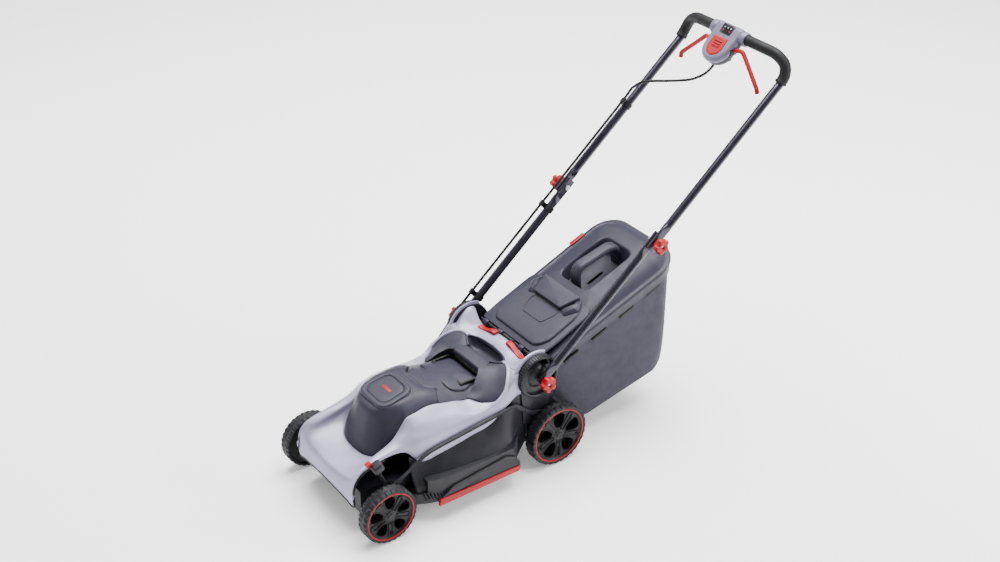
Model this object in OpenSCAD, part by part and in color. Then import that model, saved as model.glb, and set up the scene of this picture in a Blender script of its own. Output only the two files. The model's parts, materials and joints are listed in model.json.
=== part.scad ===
// Push lawn mower with a rear collector box and a folding handle.
// The front of the mower faces -Y, its left side is +X, and Z is up from the ground.
// Places along the mower are measured from the front axle, and at_axle() puts that
// axle where the whole machine is centred on the origin.

/* [Cutting] */
// Radius swept by the blade tips
blade_r = 213; // [170:1:214]
// Distance of the blade's axis behind the front axle
blade_y = 215; // [205:1:225]
// Height of the blade above the ground
blade_z = 66; // [60:1:76]

/* [Deck] */
// Radius of the round cutting chamber outside its wall
chamber_r = 225; // [222:1:228]
// Wall of the deck and its side plates
deck_wall = 4; // [3:0.5:5]
// Height of the deck's lower edge
deck_low = 57; // [50:1:60]
// Height of the chamber's roof, upper side
deck_roof = 132; // [126:1:140]
// Half the width of the rear tunnel between the rear wheels
tunnel_half = 166; // [164:1:168]
// Half the width of the deck's nose between the front wheels
nose_half = 140; // [130:1:142]
// Wall of the moulded covers
cover_wall = 3; // [2:0.5:4]

/* [Wheels] */
// Diameter of the front wheels
front_wheel_d = 165; // [150:1:168]
// Diameter of the rear wheels
rear_wheel_d = 191.5; // [180:0.5:196]
// Distance between the front and the rear axle
wheelbase = 568.5; // [560:0.5:580]
// Outer face of the front wheels from the centre plane
front_track_half = 226; // [226:1:240]
// Outer face of the rear wheels from the centre plane
rear_track_half = 218; // [218:1:232]
// Width of each tyre
tyre_w = 40; // [30:1:41]
// Depth of rubber between rim and tread
tyre_depth = 10; // [7:0.5:12]
// Radius of the wheel's hub
hub_r = 17; // [14:0.5:20]
// Radius of the stub each wheel turns on
stub_r = 6; // [5:0.5:7]
// Radial running clearance of the wheels and pivots
run_gap = 0.08; // [0.03:0.01:0.1]
// Length of the crank arms that carry the wheels
crank_len = 45; // [40:1:48]
// Radius of the cross shafts
shaft_r = 7; // [5:0.5:8]

/* [Handle] */
// Slope of the handle from the ground
handle_angle = 40; // [35:1:45]
// Height of the lower handle pivots
pivot_z = 295; // [285:1:305]
// Distance of the lower handle pivots behind the front axle
pivot_y = 522; // [515:1:530]
// Length from lower pivot to the middle joint
lower_len = 490; // [450:1:520]
// Length from the middle joint to the start of the top loop
upper_len = 563; // [520:1:600]
// Diameter of the handle tubes
tube_d = 24; // [20:0.5:26]
// Wall of the handle tubes
tube_wall = 1.5; // [1:0.1:2.5]
// Upper tube's centre line from the centre plane
upper_half = 207; // [205:1:212]
// Radius of the bolts at the handle joints
bolt_r = 4; // [3:0.5:5]
// Outer radius of the clamp knobs
knob_r = 22; // [18:1:24]
// Length of the clamp knobs along their bolts
knob_len = 30; // [24:1:34]
// Outer radius of the foam grips
grip_r = 17; // [15:0.5:19]

/* [Collector box] */
// Length of the lid along the ground
box_len = 460; // [420:1:470]
// Half the width of the lid's rim at the rear
rim_half = 163; // [150:1:166]
// Half the width of the box's body
box_half = 150; // [140:1:153]
// Wall of the box's body
box_wall = 3; // [2:0.5:4]
// Slope of the lid's rim
lid_slope = 21.3; // [18:0.1:24]

/* [Hidden] */
$fn = 48;
front_axle_y = -642.4;      // places the middle of the machine's length on the origin
gap = 0.5;                // clearance between pieces that only lie beside each other
front_z = front_wheel_d / 2;
rear_z = rear_wheel_d / 2;
rear_y = wheelbase;
crank_rise = 26;          // angle of the crank arms above level, wheel to pivot
arm_dy = crank_len * cos(crank_rise);
arm_dz = crank_len * sin(crank_rise);
crank_t = 6;              // thickness of a crank arm
crank_gap = 1.5;          // side clearance of a crank arm
front_crank_x = 156;
rear_crank_x = tunnel_half + crank_gap;
rod_pin_h = 37;           // link rod pins above the crank pivots
rod_pin_r = 3;
rod_x = 175.8;            // middle of the link rod's thickness
rod_t = 3.4;
lever_len = 130;
lever_angle = 112.6;      // from the rear, at the front end of its travel
lower_half = upper_half - tube_d / 2;
flat_t = tube_d / 2 - 0.6;          // thickness of the tubes' flattened ends
flat_w = tube_d + 4;
joint_x = upper_half - tube_d / 4;  // plane between the two flats
upper_flat_x = joint_x + 0.3;
lower_flat_x = joint_x - 0.3 - flat_t;
knob_gap = 0.5;
lower_knob_x = lower_flat_x + flat_t + 3;
upper_knob_x = upper_flat_x + flat_t + 3;
joint_y = pivot_y + lower_len * cos(handle_angle);
joint_z = pivot_z + lower_len * sin(handle_angle);
loop_s = lower_len + upper_len;
loop_y = pivot_y + loop_s * cos(handle_angle);
loop_z = pivot_z + loop_s * sin(handle_angle);
loop_bar_y = loop_y - 1;  // middle of the crossbar
loop_bar_z = loop_z + 82;
grip_end_x = 70;          // inner end of each grip, at the control box
mouth_y = 582;            // rear face of the deck's tunnel
mouth_gap = 3;
box_y = mouth_y + mouth_gap;
lid_z = 309 + 0.39 * (box_y - 571);
rim_t = 12;
crown = 34;               // rise of the lid's middle above its rim
cable_r = 4;
cable_h = 27;             // cable above the tubes' centre lines
cable_x = -205;
hinge_y = 549;            // rear flap's hinge rod
hinge_z = 316;

function slope_pt(x, s, h) = [x, pivot_y + s * cos(handle_angle) - h * sin(handle_angle),
    pivot_z + s * sin(handle_angle) + h * cos(handle_angle)];

// Catmull-Rom curve through points p, n steps to each span
function spline(p, n) = [for (i = [0 : len(p) - 2], k = [0 : n - 1])
    let (a = p[max(i - 1, 0)], b = p[i], c = p[i + 1], d = p[min(i + 2, len(p) - 1)],
        t = k / n)
    0.5 * ((2 * b) + (c - a) * t + (2 * a - 5 * b + 4 * c - d) * t * t
        + (3 * b - a - 3 * c + d) * t * t * t), p[len(p) - 1]];
function unit(v) = v / norm(v);
function tangent(p, i) = unit(p[min(i + 1, len(p) - 1)] - p[max(i - 1, 0)]);

// Round bar of radius r swept along the points p, with closed ends
module sweep(p, r, sides = 16, side = [0.3, 0.9, 0.31]) {
    n = len(p);
    pts = [for (i = [0 : n - 1])
        let (t = tangent(p, i), u = unit(cross(side, t)), v = cross(t, u))
        for (k = [0 : sides - 1])
            p[i] + r * (cos(360 * k / sides) * u + sin(360 * k / sides) * v)];
    faces = concat(
        [[for (k = [sides - 1 : -1 : 0]) k]],
        [for (i = [0 : n - 2], k = [0 : sides - 1]) let (m = (k + 1) % sides)
            [i * sides + k, i * sides + m, (i + 1) * sides + m]],
        [for (i = [0 : n - 2], k = [0 : sides - 1]) let (m = (k + 1) % sides)
            [i * sides + k, (i + 1) * sides + m, (i + 1) * sides + k]],
        [[for (k = [0 : sides - 1]) (n - 1) * sides + k]]);
    polyhedron(points = pts, faces = [for (f = faces) [for (j = [len(f) - 1 : -1 : 0]) f[j]]]);
}

module at_axle() { translate([0, front_axle_y, 0]) children(); }
module on_slope(x, s, h = 0) {
    translate(slope_pt(x, s, h)) rotate([handle_angle, 0, 0]) children();
}
// Round bar along X from x0 to x1
module bar_x(r, x0, x1, y = 0, z = 0) {
    translate([min(x0, x1), y, z]) rotate([0, 90, 0]) cylinder(r = r, h = abs(x1 - x0));
}
// Side profile (points are [y, z]) spread from x0 to x1
module profile_x(pts, x0, x1) {
    translate([min(x0, x1), 0, 0]) rotate([90, 0, 90])
        linear_extrude(abs(x1 - x0)) polygon(pts);
}
// Round-cornered bar between two pins in a side view
module link_x(r, x0, x1, a, b) {
    d = [b[0] - a[0], b[1] - a[1]];
    bar_x(r, x0, x1, a[0], a[1]);
    bar_x(r, x0, x1, b[0], b[1]);
    translate([min(x0, x1), a[0], a[1]]) rotate([atan2(d[1], d[0]), 0, 0])
        translate([0, 0, 0.6 - r]) cube([abs(x1 - x0), norm(d), 2 * r - 1.2]);
}
module side(s) { if (s > 0) children(); else mirror([1, 0, 0]) children(); }
// Shell point cloud for a rounded cover: spheres of radius r at p and its mirror image
module balls(p, r) {
    for (q = p, s = [-1, 1]) translate([s * q[0], q[1], q[2]]) sphere(r = r, $fn = 20);
}

// ---- deck ----
front_y = -42;            // front wall of the deck's nose
module deck_plan(g) {
    translate([0, blade_y]) circle(r = chamber_r - g);
    translate([-nose_half + g, front_y + g]) square([2 * (nose_half - g), blade_y - front_y]);
    polygon([[-chamber_r + g, blade_y], [chamber_r - g, blade_y], [chamber_r - g, 402],
        [tunnel_half - g, 462], [-tunnel_half + g, 462], [-chamber_r + g, 402]]);
}
// Upper part of the deck in plan, stepped in beside the front crank arms
notch_x = 152;
notch_y = 128;
notch_z = 90;
module deck_plan_upper(g) difference() {
    deck_plan(g);
    for (s = [0, 1]) mirror([s, 0]) translate([notch_x - g, -100]) square([200, 100 + notch_y + g]);
}
module tunnel_side(x0) {
    profile_x([[400, deck_low + 16], [632, 98], [632, 130], [mouth_y, 190], [mouth_y, 304],
        [480, 304], [400, deck_roof]], x0, x0 + deck_wall);
}
module deck_shell() color([0.2, 0.19, 0.24]) at_axle() difference() {
    union() {
        translate([0, 0, deck_low]) difference() {
            union() {
                linear_extrude(notch_z - deck_low) deck_plan(0);
                linear_extrude(deck_roof - deck_low) deck_plan_upper(0);
            }
            translate([0, 0, -1]) linear_extrude(notch_z - deck_low - deck_wall + 1)
                deck_plan(deck_wall);
            translate([0, 0, -1]) linear_extrude(deck_roof - deck_low - deck_wall + 1)
                deck_plan_upper(deck_wall);
            // tunnel outlet through the rear wall
            translate([-tunnel_half + deck_wall, 400, 16]) cube([2 * (tunnel_half - deck_wall), 70, 200]);
        }
        for (s = [-1, 1]) side(s) tunnel_side(tunnel_half - deck_wall);
        // sloping roof and floor of the grass tunnel
        profile_x([[396, deck_roof - deck_wall], [400, deck_roof], [500, 296], [mouth_y, 300],
            [mouth_y, 296], [503, 292], [404, deck_roof - deck_wall]],
            -tunnel_half + deck_wall, tunnel_half - deck_wall);
        profile_x([[440, deck_low + 16], [440, deck_low + 20], [mouth_y, 152], [mouth_y, 148]],
            -tunnel_half + deck_wall, tunnel_half - deck_wall);
        // motor seat
        translate([0, blade_y, deck_roof - deck_wall]) cylinder(r = 74, h = deck_wall + 6);
    }
    // motor shaft and the seat of the motor
    translate([0, blade_y, 0]) cylinder(r = 24, h = 300);
    translate([0, blade_y, deck_roof + 2]) cylinder(r = 66 + gap, h = 20);
    // cross shaft bearings
    bar_x(shaft_r + run_gap, -300, 300, arm_dy, front_z + arm_dz);
    bar_x(shaft_r + run_gap, -300, 300, rear_y + arm_dy, rear_z + arm_dz);
    // lower handle bolts
    bar_x(bolt_r + 0.05, -300, 300, pivot_y, pivot_z);
    bar_x(8.5, deck_wall - tunnel_half - 0.05, tunnel_half - deck_wall - 0.05, pivot_y, pivot_z);
}
module skirt(s) color([0.17, 0.165, 0.2]) at_axle() side(s) {
    // side plate with a bevelled upper edge
    profile_x([[150, 62.5], [418, 62.5], [418, 80], [400, 106], [372, 117], [352, 113],
        [196, 97], [160, 74]], chamber_r + gap, chamber_r + 7);
}
module skirt_left() skirt(1);
module skirt_right() skirt(-1);
module skirt_trims() color([0.85, 0.1, 0.2]) at_axle() for (s = [-1, 1]) side(s)
    profile_x([[152, 52], [416, 52], [418, 62], [150, 62]], chamber_r + gap, chamber_r + 7);

// ---- covers ----
// Rounded points of the light top cover: half width, distance behind the front axle, height
cover_pts = [[132, -56, 108], [135, -52, 186], [146, 0, 226], [162, 260, 250],
    [162, 330, 256], [150, 395, 300], [100, 200, 296], [156, 515, 330], [120, 520, 318]];
module cover_under() profile_x([[-200, 100], [-47, 100], [-44, 188], [100, 188], [120, 184],
    [390, 240], [700, 240], [700, -10], [-200, -10]], -300, 300);
module cover_hull(r) hull() balls(cover_pts, r);
module dome_hull(r) hull() balls([[46, 30, 176], [62, 34, 214], [90, 130, 268],
    [90, 245, 280], [62, 245, 304], [60, 105, 300], [90, 245, 170]], r);
bay_y0 = 338;             // battery opening
bay_y1 = 400;
bay_half = 66;
module top_cover() color([0.72, 0.71, 0.8]) at_axle() difference() {
    cover_hull(6);
    for (drop = [0, 30, 60]) translate([0, 0, -drop]) cover_hull(6 - cover_wall);
    cover_under();
    dome_hull(10 + gap);
    carry_block(gap);
    // room above the carrying frame for the battery and a hand
    translate([-carry_half - gap, carry_y0, carry_z]) cube([2 * (carry_half + gap), carry_y1 - carry_y0, 200]);
    // hub shrouds at the handle mounts and the rear opening over the tunnel
    for (s = [-1, 1]) side(s) bar_x(62, 128, 300, pivot_y, pivot_z);
    translate([-tunnel_half - 4, 466, 200]) cube([2 * tunnel_half + 8, 200, 106]);
    translate([-142, hinge_y - 14, 200]) cube([284, 60, 200]);
    // sweep of the height lever
    bar_x(lever_len + 22, front_crank_x + 4, 300, arm_dy, front_z + arm_dz);
    mirror([1, 0, 0]) bar_x(lever_len + 22, front_crank_x + 4, 300, arm_dy, front_z + arm_dz);
    catch_pockets();
}
module motor_cover() color([0.3, 0.29, 0.34]) at_axle() difference() {
    dome_hull(10);
    dome_hull(10 - cover_wall);
    translate([-200, -100, 0]) cube([400, 400, 180]);
    translate([-200, 251, 0]) cube([400, 100, 400]);
    badge_seat(gap);
}
module badge_seat(g) translate([0, 135, 308]) rotate([10, 0, 0])
    translate([-70 - g, -58 - g, -8]) cube([140 + 2 * g, 116 + 2 * g, 40]);
module badge_pad() color([0.42, 0.41, 0.47]) at_axle() difference() {
    translate([0, 135, 308]) rotate([10, 0, 0]) translate([0, 0, -4]) linear_extrude(9)
        offset(r = 26, $fn = 32) square([140 - 52, 116 - 52], center = true);
    translate([0, 135, 308]) rotate([10, 0, 0]) translate([0, 0, 3]) linear_extrude(9)
        offset(r = 18, $fn = 32) square([96 - 36, 76 - 36], center = true);
}
// Dark rear cover with the carrying handle across the battery opening
carry_half = 96;          // half width of the carrying frame
carry_y0 = 258;           // its front and rear ends
carry_y1 = 470;
carry_z = 300;            // height above which nothing covers it
module carry_block(g) {
    profile_x([[256 - g, 292 - g], [256 - g, 306 + g], [336, 306 + g], [403 - g, 310 + g],
        [440 + g, 312 + g], [carry_y1 + g, 306 + g], [carry_y1 + g, 292 - g]],
        -carry_half - g, carry_half + g);
}
module carry_cover() color([0.28, 0.27, 0.32]) at_axle() {
    difference() {
        carry_block(0);
        translate([0, 0, -cover_wall]) profile_x([[250, 290], [250, 306], [336, 306],
            [403, 309], [470 - cover_wall, 305], [470 - cover_wall, 280]],
            -96 + cover_wall, 96 - cover_wall);
        translate([-bay_half, bay_y0, 200]) cube([2 * bay_half, bay_y1 - bay_y0, 200]);
        translate([-58, 436, 200]) cube([116, 24, 200]);
    }
    // grip bar between the two openings
    difference() {
        profile_x([[402, 296], [402, 312], [410, 318], [426, 318], [434, 312], [434, 296]],
            -bay_half, bay_half);
    }
}
module battery_bay() color([0.12, 0.12, 0.14]) at_axle() difference() {
    translate([-bay_half - 6, bay_y0 - 6, 196]) cube([2 * bay_half + 12, bay_y1 - bay_y0 + 12, 92]);
    translate([-bay_half, bay_y0, 200]) cube([2 * bay_half, bay_y1 - bay_y0, 200]);
}
module battery_pack() color([0.25, 0.24, 0.28]) at_axle() {
    translate([-58, bay_y0 + 2, 201]) cube([116, bay_y1 - bay_y0 - 4, 82]);
    translate([-40, bay_y0 + 6, 283]) cube([80, 12, 8]);
}
module controller() color([0.1, 0.3, 0.2]) at_axle() difference() {
    translate([-60, 300, 160]) cube([120, 90, 22]);
    translate([-56, 304, 164]) cube([112, 82, 22]);
}
module motor_can() color([0.5, 0.5, 0.52]) at_axle() translate([0, blade_y, deck_roof + 2 + gap / 2])
    difference() {
        cylinder(r = 66, h = 56);
        translate([0, 0, -1]) cylinder(r = 8 + run_gap, h = 80);
        translate([0, 0, 4]) difference() {
            cylinder(r = 62, h = 46);
            cylinder(r = 20, h = 46);
        }
    }
module motor_shaft() color([0.6, 0.6, 0.62]) at_axle() translate([0, blade_y, blade_z - 6])
    cylinder(r = 8, h = deck_roof + 52 - blade_z);
module blade_holder() color([0.4, 0.4, 0.42]) at_axle() translate([0, blade_y, blade_z + 4])
    difference() {
        cylinder(r = 22, h = 26);
        translate([0, 0, -1]) cylinder(r = 8.05, h = 40);
    }
module blade() color([0.55, 0.55, 0.58]) at_axle() translate([0, blade_y, blade_z]) difference() {
    union() {
        cylinder(r = 30, h = 3.5);
        intersection() {
            translate([-28, -blade_r, 0]) cube([56, 2 * blade_r, 3.5]);
            cylinder(r = blade_r, h = 20);
        }
        // wind wings at the trailing edges
        for (a = [0, 180]) rotate([0, 0, a]) translate([20, 120, 3]) rotate([0, -35, 0])
            cube([22, 74, 3]);
    }
    translate([0, 0, -1]) cylinder(r = 8.05, h = 40);
}
module blade_bolt() color([0.7, 0.7, 0.72]) at_axle() translate([0, blade_y, blade_z - 12])
    union() {
        cylinder(r = 13, h = 5.5, $fn = 6);
        cylinder(r = 16, h = 1.5);
    }

// ---- handle mounts ----
module handle_mount(s) color([0.15, 0.145, 0.17]) at_axle() side(s) difference() {
    union() {
        // arched shroud around the pivot
        bar_x(60, tunnel_half + 0.2, 181, pivot_y, pivot_z);
        profile_x([[pivot_y - 46, 150], [pivot_y + 40, 150], [pivot_y + 60, pivot_z],
            [pivot_y - 60, pivot_z]], tunnel_half + 0.2, tunnel_half + 7.4);
        bar_x(16, 180, lower_flat_x - 0.4, pivot_y, pivot_z);
    }
    bar_x(bolt_r + 0.05, 100, 300, pivot_y, pivot_z);
    bar_x(52, tunnel_half + 8, 178, pivot_y, pivot_z);
    // room for the link rod that passes outside
    translate([tunnel_half - 20, 300, 60]) cube([40, 400, 90]);
}
module handle_mount_left() handle_mount(1);
module handle_mount_right() handle_mount(-1);
module bolt(s, head_x, tip_x, y, z) side(s) {
    bar_x(bolt_r, head_x, tip_x, y, z);
    bar_x(8, head_x - 5, head_x, y, z);
}
module lower_bolts() color([0.3, 0.3, 0.32]) at_axle() for (s = [-1, 1])
    bolt(s, tunnel_half - deck_wall - 0.2, lower_knob_x + knob_len - 8, pivot_y, pivot_z);
module upper_bolts() color([0.3, 0.3, 0.32]) at_axle() for (s = [-1, 1])
    bolt(s, lower_flat_x - 0.2, upper_knob_x + knob_len - 8, joint_y, joint_z);
// Five-lobed clamp knob with finger hollows between its lobes
module knob(s, x, y, z) color([0.9, 0.15, 0.25]) at_axle() side(s) difference() {
    union() {
        bar_x(knob_r - 6, x, x + knob_len, y, z);
        translate([0, y, z]) for (k = [0 : 4]) rotate([72 * k + 18, 0, 0])
            bar_x(7, x + 6, x + knob_len - 1, 0, knob_r - 7);
        bar_x(11, x - 2.4, x, y, z);
    }
    bar_x(bolt_r + 0.05, x - 5, x + knob_len - 7, y, z);
    translate([0, y, z]) for (k = [0 : 4]) rotate([72 * k + 54, 0, 0])
        bar_x(4, x + 10, x + knob_len + 1, 0, knob_r - 5);
}
module lower_knob_left() knob(1, lower_knob_x, pivot_y, pivot_z);
module lower_knob_right() knob(-1, lower_knob_x, pivot_y, pivot_z);
module upper_knob_left() knob(1, upper_knob_x, joint_y, joint_z);
module upper_knob_right() knob(-1, upper_knob_x, joint_y, joint_z);

// ---- handle ----
// Flattened tube end from s0 to s1 along the slope, drilled by the caller
module flat(x, s0, s1) {
    on_slope(x, s0, 0) translate([0, 0, -flat_w / 2]) cube([flat_t, s1 - s0, flat_w]);
}
module slope_tube(x, s0, s1) on_slope(x, s0) rotate([-90, 0, 0]) difference() {
    cylinder(r = tube_d / 2, h = s1 - s0);
    translate([0, 0, -1]) cylinder(r = tube_d / 2 - tube_wall, h = s1 - s0 + 2);
}
flat_back = 52;           // flats reach this far past a joint on the tube's own side
flat_tip = 26;            // and this far beyond it
module lower_tube(s) color([0.3, 0.29, 0.34]) at_axle() side(s) difference() {
    union() {
        slope_tube(lower_half, flat_back, lower_len - flat_back);
        flat(lower_flat_x, 0, flat_back + 4);
        bar_x(flat_w / 2, lower_flat_x, lower_flat_x + flat_t, pivot_y, pivot_z);
        flat(lower_flat_x, lower_len - flat_back - 4, lower_len + flat_tip);
    }
    bar_x(bolt_r + run_gap, 0, 300, pivot_y, pivot_z);
    bar_x(bolt_r + 0.05, 0, 300, joint_y, joint_z);
}
module lower_tube_left() lower_tube(1);
module lower_tube_right() lower_tube(-1);

// Centre line of the upper handle's top loop, rising and closing over the middle
loop_half = [[upper_half, loop_y, loop_z], [upper_half, loop_y + 15, loop_z + 22],
    [upper_half - 11, loop_y + 22, loop_z + 49], [upper_half - 42, loop_y + 17, loop_z + 70],
    [upper_half - 87, loop_y + 7, loop_z + 78], [60, loop_y, loop_z + 82]];
function mirror_x(p) = [for (i = [len(p) - 1 : -1 : 0]) [-p[i][0], p[i][1], p[i][2]]];
loop_start = slope_pt(upper_half, loop_s - 20, 0);
loop_pts = spline(concat([loop_start], loop_half, mirror_x(loop_half),
    [[-loop_start[0], loop_start[1], loop_start[2]]]), 4);
grip_pts = spline(concat(loop_half, [[20, loop_y, loop_z + 82]]), 4);
module loop_core(r) sweep(loop_pts, r, 20);
module upper_tube() color([0.3, 0.29, 0.34]) at_axle() {
    loop_core(tube_d / 2);
    for (s = [-1, 1]) side(s) difference() {
        union() {
            slope_tube(upper_half, lower_len + flat_back, loop_s - 19.5);
            flat(upper_flat_x, lower_len - flat_tip, lower_len + flat_back + 4);
        }
        bar_x(bolt_r + run_gap, 0, 300, joint_y, joint_z);
    }
}
module grip(s) color([0.1, 0.1, 0.11]) at_axle() side(s) difference() {
    sweep(grip_pts, grip_r, 20);
    loop_core(tube_d / 2 + gap);
    translate([-grip_end_x, loop_y - 100, loop_z]) cube([2 * grip_end_x, 200, 200]);
}
module grip_left() grip(1);
module grip_right() grip(-1);

// ---- controls ----
// The box lies along the slope: u runs down and forward from the crossbar
box_u0 = -16;
module box_frame() {
    translate([0, loop_bar_y, loop_bar_z]) rotate([handle_angle + 3, 0, 0])
        mirror([0, 1, 0]) children();
}
module box_shape(g) {
    hull() {
        translate([0, 58, -18]) cylinder(r = 42 + g, h = 34 + g);
        translate([-50 - g, box_u0 - g, -18]) cube([100 + 2 * g, 20, 38 + g]);
    }
    // collars over the crossbar
    rotate([0, 90, 0]) cylinder(r = 21 + g, h = 2 * 67, center = true);
}
module paddle_pocket(g) translate([0, 58, 8]) {
    cylinder(r = 26 + g, h = 20);
    translate([-26 - g, -24 - g, 0]) cube([52 + 2 * g, 24 + g, 20]);
}
module control_box() color([0.66, 0.65, 0.74]) at_axle() difference() {
    box_frame() difference() {
        box_shape(0);
        translate([0, 0, -2]) intersection() {
            translate([0, 0, 2]) hull() {
                translate([0, 58, -14]) cylinder(r = 38, h = 20);
                translate([-46, box_u0 + 24, -14]) cube([92, 8, 20]);
            }
        }
        paddle_pocket(gap);
        translate([-26, -14, 17]) cube([52, 30, 20]);
        translate([30, 36, -14]) cube([60, 24, 18]);
        mirror([1, 0, 0]) translate([30, 36, -14]) cube([60, 24, 18]);
        translate([26, 62, -40]) cylinder(r = 6 + gap, h = 30);
    }
    loop_core(tube_d / 2 + gap);
}
module display_window() color([0.05, 0.05, 0.06]) at_axle() box_frame()
    translate([-25.5, -13.5, 17.5]) cube([51, 29, 3.5]);
module drive_paddle() color([0.9, 0.2, 0.3]) at_axle() box_frame() {
    translate([0, 58, 10]) cylinder(r = 26, h = 10);
    translate([-26, 34, 10]) cube([52, 24, 10]);
}
bail_u = 48;              // bail shaft down the box from the crossbar
bail_h = -5;
bail_pts = [[30, 0, 0], [58, 0, 0], [72, 6, -10], [80, 14, -22], [150, 30, -82], [158, 30, -100]];
module bail_levers() color([0.85, 0.15, 0.22]) at_axle() {
    p = spline(bail_pts, 3);
    for (s = [-1, 1]) side(s) translate([0, loop_bar_y - 27, loop_bar_z - 34])
        sweep([for (q = p) [q[0], q[1] - 6, q[2]]], 5.5, 12, [0.1, 0.95, 0.3]);
    translate([0, loop_bar_y - 33, loop_bar_z - 34]) bar_x(5, -31, 31);
}
module safety_key() color([0.4, 0.4, 0.45]) at_axle() box_frame()
    translate([26, 62, -34]) cylinder(r = 6, h = 24);

// ---- cable, in one stretch for each body it is clipped to ----
// Route points, chosen by hand
route_upper = [[-6, 1262, 960], [-20, 1256, 938], [-50, 1240, 917], [-80, 1218, 907],
    [-110, 1190, 902], [-140, 1162, 898], [-166, 1144, 888], [-190, 1132, 866]];
route_tail = [[-202, 486, 300], [-196, 465, 282], [-187, 437, 266], [-174, 405, 250]];
module cable_run(p) color([0.08, 0.08, 0.09]) at_axle() sweep(p, cable_r, 8);
cable_meet_s = lower_len - 0.3;
clip_s = 785;             // place of the upper clip along the slope
module cable_upper() cable_run(concat(spline(route_upper, 3),
    [for (k = [0 : 14]) slope_pt(cable_x, clip_s + 22 - (clip_s + 22 - cable_meet_s - 0.6) * k / 14,
        cable_h)]));
module cable_lower() cable_run([for (k = [0 : 20])
    slope_pt(cable_x, cable_meet_s * (1 - k / 20) + 9 * k / 20, cable_h)]);
module cable_tail() cable_run(concat([slope_pt(cable_x, 3, cable_h)], spline(route_tail, 3)));
// Clip around a tube with an arm that holds the cable
module clip(x, s) on_slope(x, s) rotate([-90, 0, 0]) difference() {
    union() {
        cylinder(r = tube_d / 2 + 3, h = 16);
        translate([cable_x + abs(x), -cable_h, 0]) cylinder(r = cable_r + 3, h = 16);
        translate([min(0, cable_x + abs(x)) - 3, -cable_h, 0]) cube([6, cable_h, 16]);
    }
    translate([0, 0, -1]) cylinder(r = tube_d / 2 + 0.05, h = 20);
    translate([cable_x + abs(x), -cable_h, -1]) cylinder(r = cable_r + 0.1, h = 20);
}
module clips_lower() color([0.12, 0.12, 0.14]) at_axle() {
    clip(-lower_half, 70);
    clip(-lower_half, 400);
}
module clip_upper() color([0.12, 0.12, 0.14]) at_axle() clip(-upper_half, clip_s);

// ---- wheels ----
// A tyre on its rim, both turning about X, outer face at x = 0 and width towards -X
module tyre(r) rotate([0, -90, 0]) rotate_extrude($fn = 96) polygon([
    [r - tyre_depth + 0.05, 2], [r - 4, 0], [r, 5], [r, tyre_w - 5], [r - 4, tyre_w],
    [r - tyre_depth + 0.05, tyre_w - 2]]);
module rim(r) rotate([0, -90, 0]) difference() {
    union() {
        difference() {
            cylinder(r = r - tyre_depth, h = tyre_w - 4, $fn = 96);
            translate([0, 0, -1]) cylinder(r = r - tyre_depth - 5, h = tyre_w, $fn = 96);
        }
        translate([0, 0, 6]) difference() {
            cylinder(r = r - tyre_depth - 4, h = 8, $fn = 96);
            // five openings between the spokes
            for (k = [0 : 4]) rotate([0, 0, 72 * k + 36])
                translate([(r + hub_r) / 2 - 2, 0, -1]) cylinder(r = (r - hub_r) / 4 + 1, h = 10);
        }
        cylinder(r = hub_r, h = tyre_w - 4);
    }
    translate([0, 0, 8]) cylinder(r = stub_r + run_gap, h = tyre_w);
}
module wheel_at(s, x, y, z) color([0.1, 0.1, 0.12]) at_axle() side(s) translate([x, y, z]) children();
module front_left_tyre() wheel_at(1, front_track_half, 0, front_z) tyre(front_z);
module front_left_rim() wheel_at(1, front_track_half - 2, 0, front_z) rim(front_z);
module front_right_tyre() wheel_at(-1, front_track_half, 0, front_z) tyre(front_z);
module front_right_rim() wheel_at(-1, front_track_half - 2, 0, front_z) rim(front_z);
module rear_left_tyre() wheel_at(1, rear_track_half, rear_y, rear_z) tyre(rear_z);
module rear_left_rim() wheel_at(1, rear_track_half - 2, rear_y, rear_z) rim(rear_z);
module rear_right_tyre() wheel_at(-1, rear_track_half, rear_y, rear_z) tyre(rear_z);
module rear_right_rim() wheel_at(-1, rear_track_half - 2, rear_y, rear_z) rim(rear_z);

// ---- height adjustment ----
// Cross shaft with a crank arm and a wheel stub at each end; y, z is the wheel centre
module crank_axle(y, z, crank_x, outer_x) {
    py = y + arm_dy;
    pz = z + arm_dz;
    bar_x(shaft_r, -crank_x - 1, crank_x + 1, py, pz);
    for (s = [-1, 1]) side(s) {
        link_x(11, crank_x, crank_x + crank_t, [y, z], [py, pz]);
        bar_x(stub_r, crank_x + crank_t - 1, outer_x - 12, y, z);
    }
}
module rod_arm(y, z, crank_x) {
    py = y + arm_dy;
    pz = z + arm_dz;
    link_x(8, crank_x + 0.3, crank_x + crank_t - 0.3, [py, pz], [py, pz + rod_pin_h]);
    bar_x(rod_pin_r, crank_x + crank_t - 1, rod_x + rod_t / 2, py, pz + rod_pin_h);
}
module front_axle() color([0.3, 0.3, 0.33]) at_axle() {
    crank_axle(0, front_z, front_crank_x, front_track_half);
    rod_arm(0, front_z, front_crank_x);
}
module rear_axle() color([0.3, 0.3, 0.33]) at_axle() {
    crank_axle(rear_y, rear_z, rear_crank_x, rear_track_half);
    rod_arm(rear_y, rear_z, rear_crank_x);
}
module height_lever() color([0.14, 0.14, 0.16]) at_axle() {
    py = arm_dy;
    pz = front_z + arm_dz;
    tip = [py + lever_len * cos(lever_angle), pz + lever_len * sin(lever_angle)];
    low = [py + 24 * cos(lever_angle), pz + 24 * sin(lever_angle)];
    link_x(6, front_crank_x + crank_t + 0.2, front_crank_x + crank_t + 6, low, tip);
    translate([front_crank_x + crank_t + 6, tip[0], tip[1] - 2]) rotate([lever_angle - 90, 0, 0])
        translate([-6, -11, -16]) cube([34, 22, 34]);
}
rod_front = [arm_dy, front_z + arm_dz + rod_pin_h];
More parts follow.
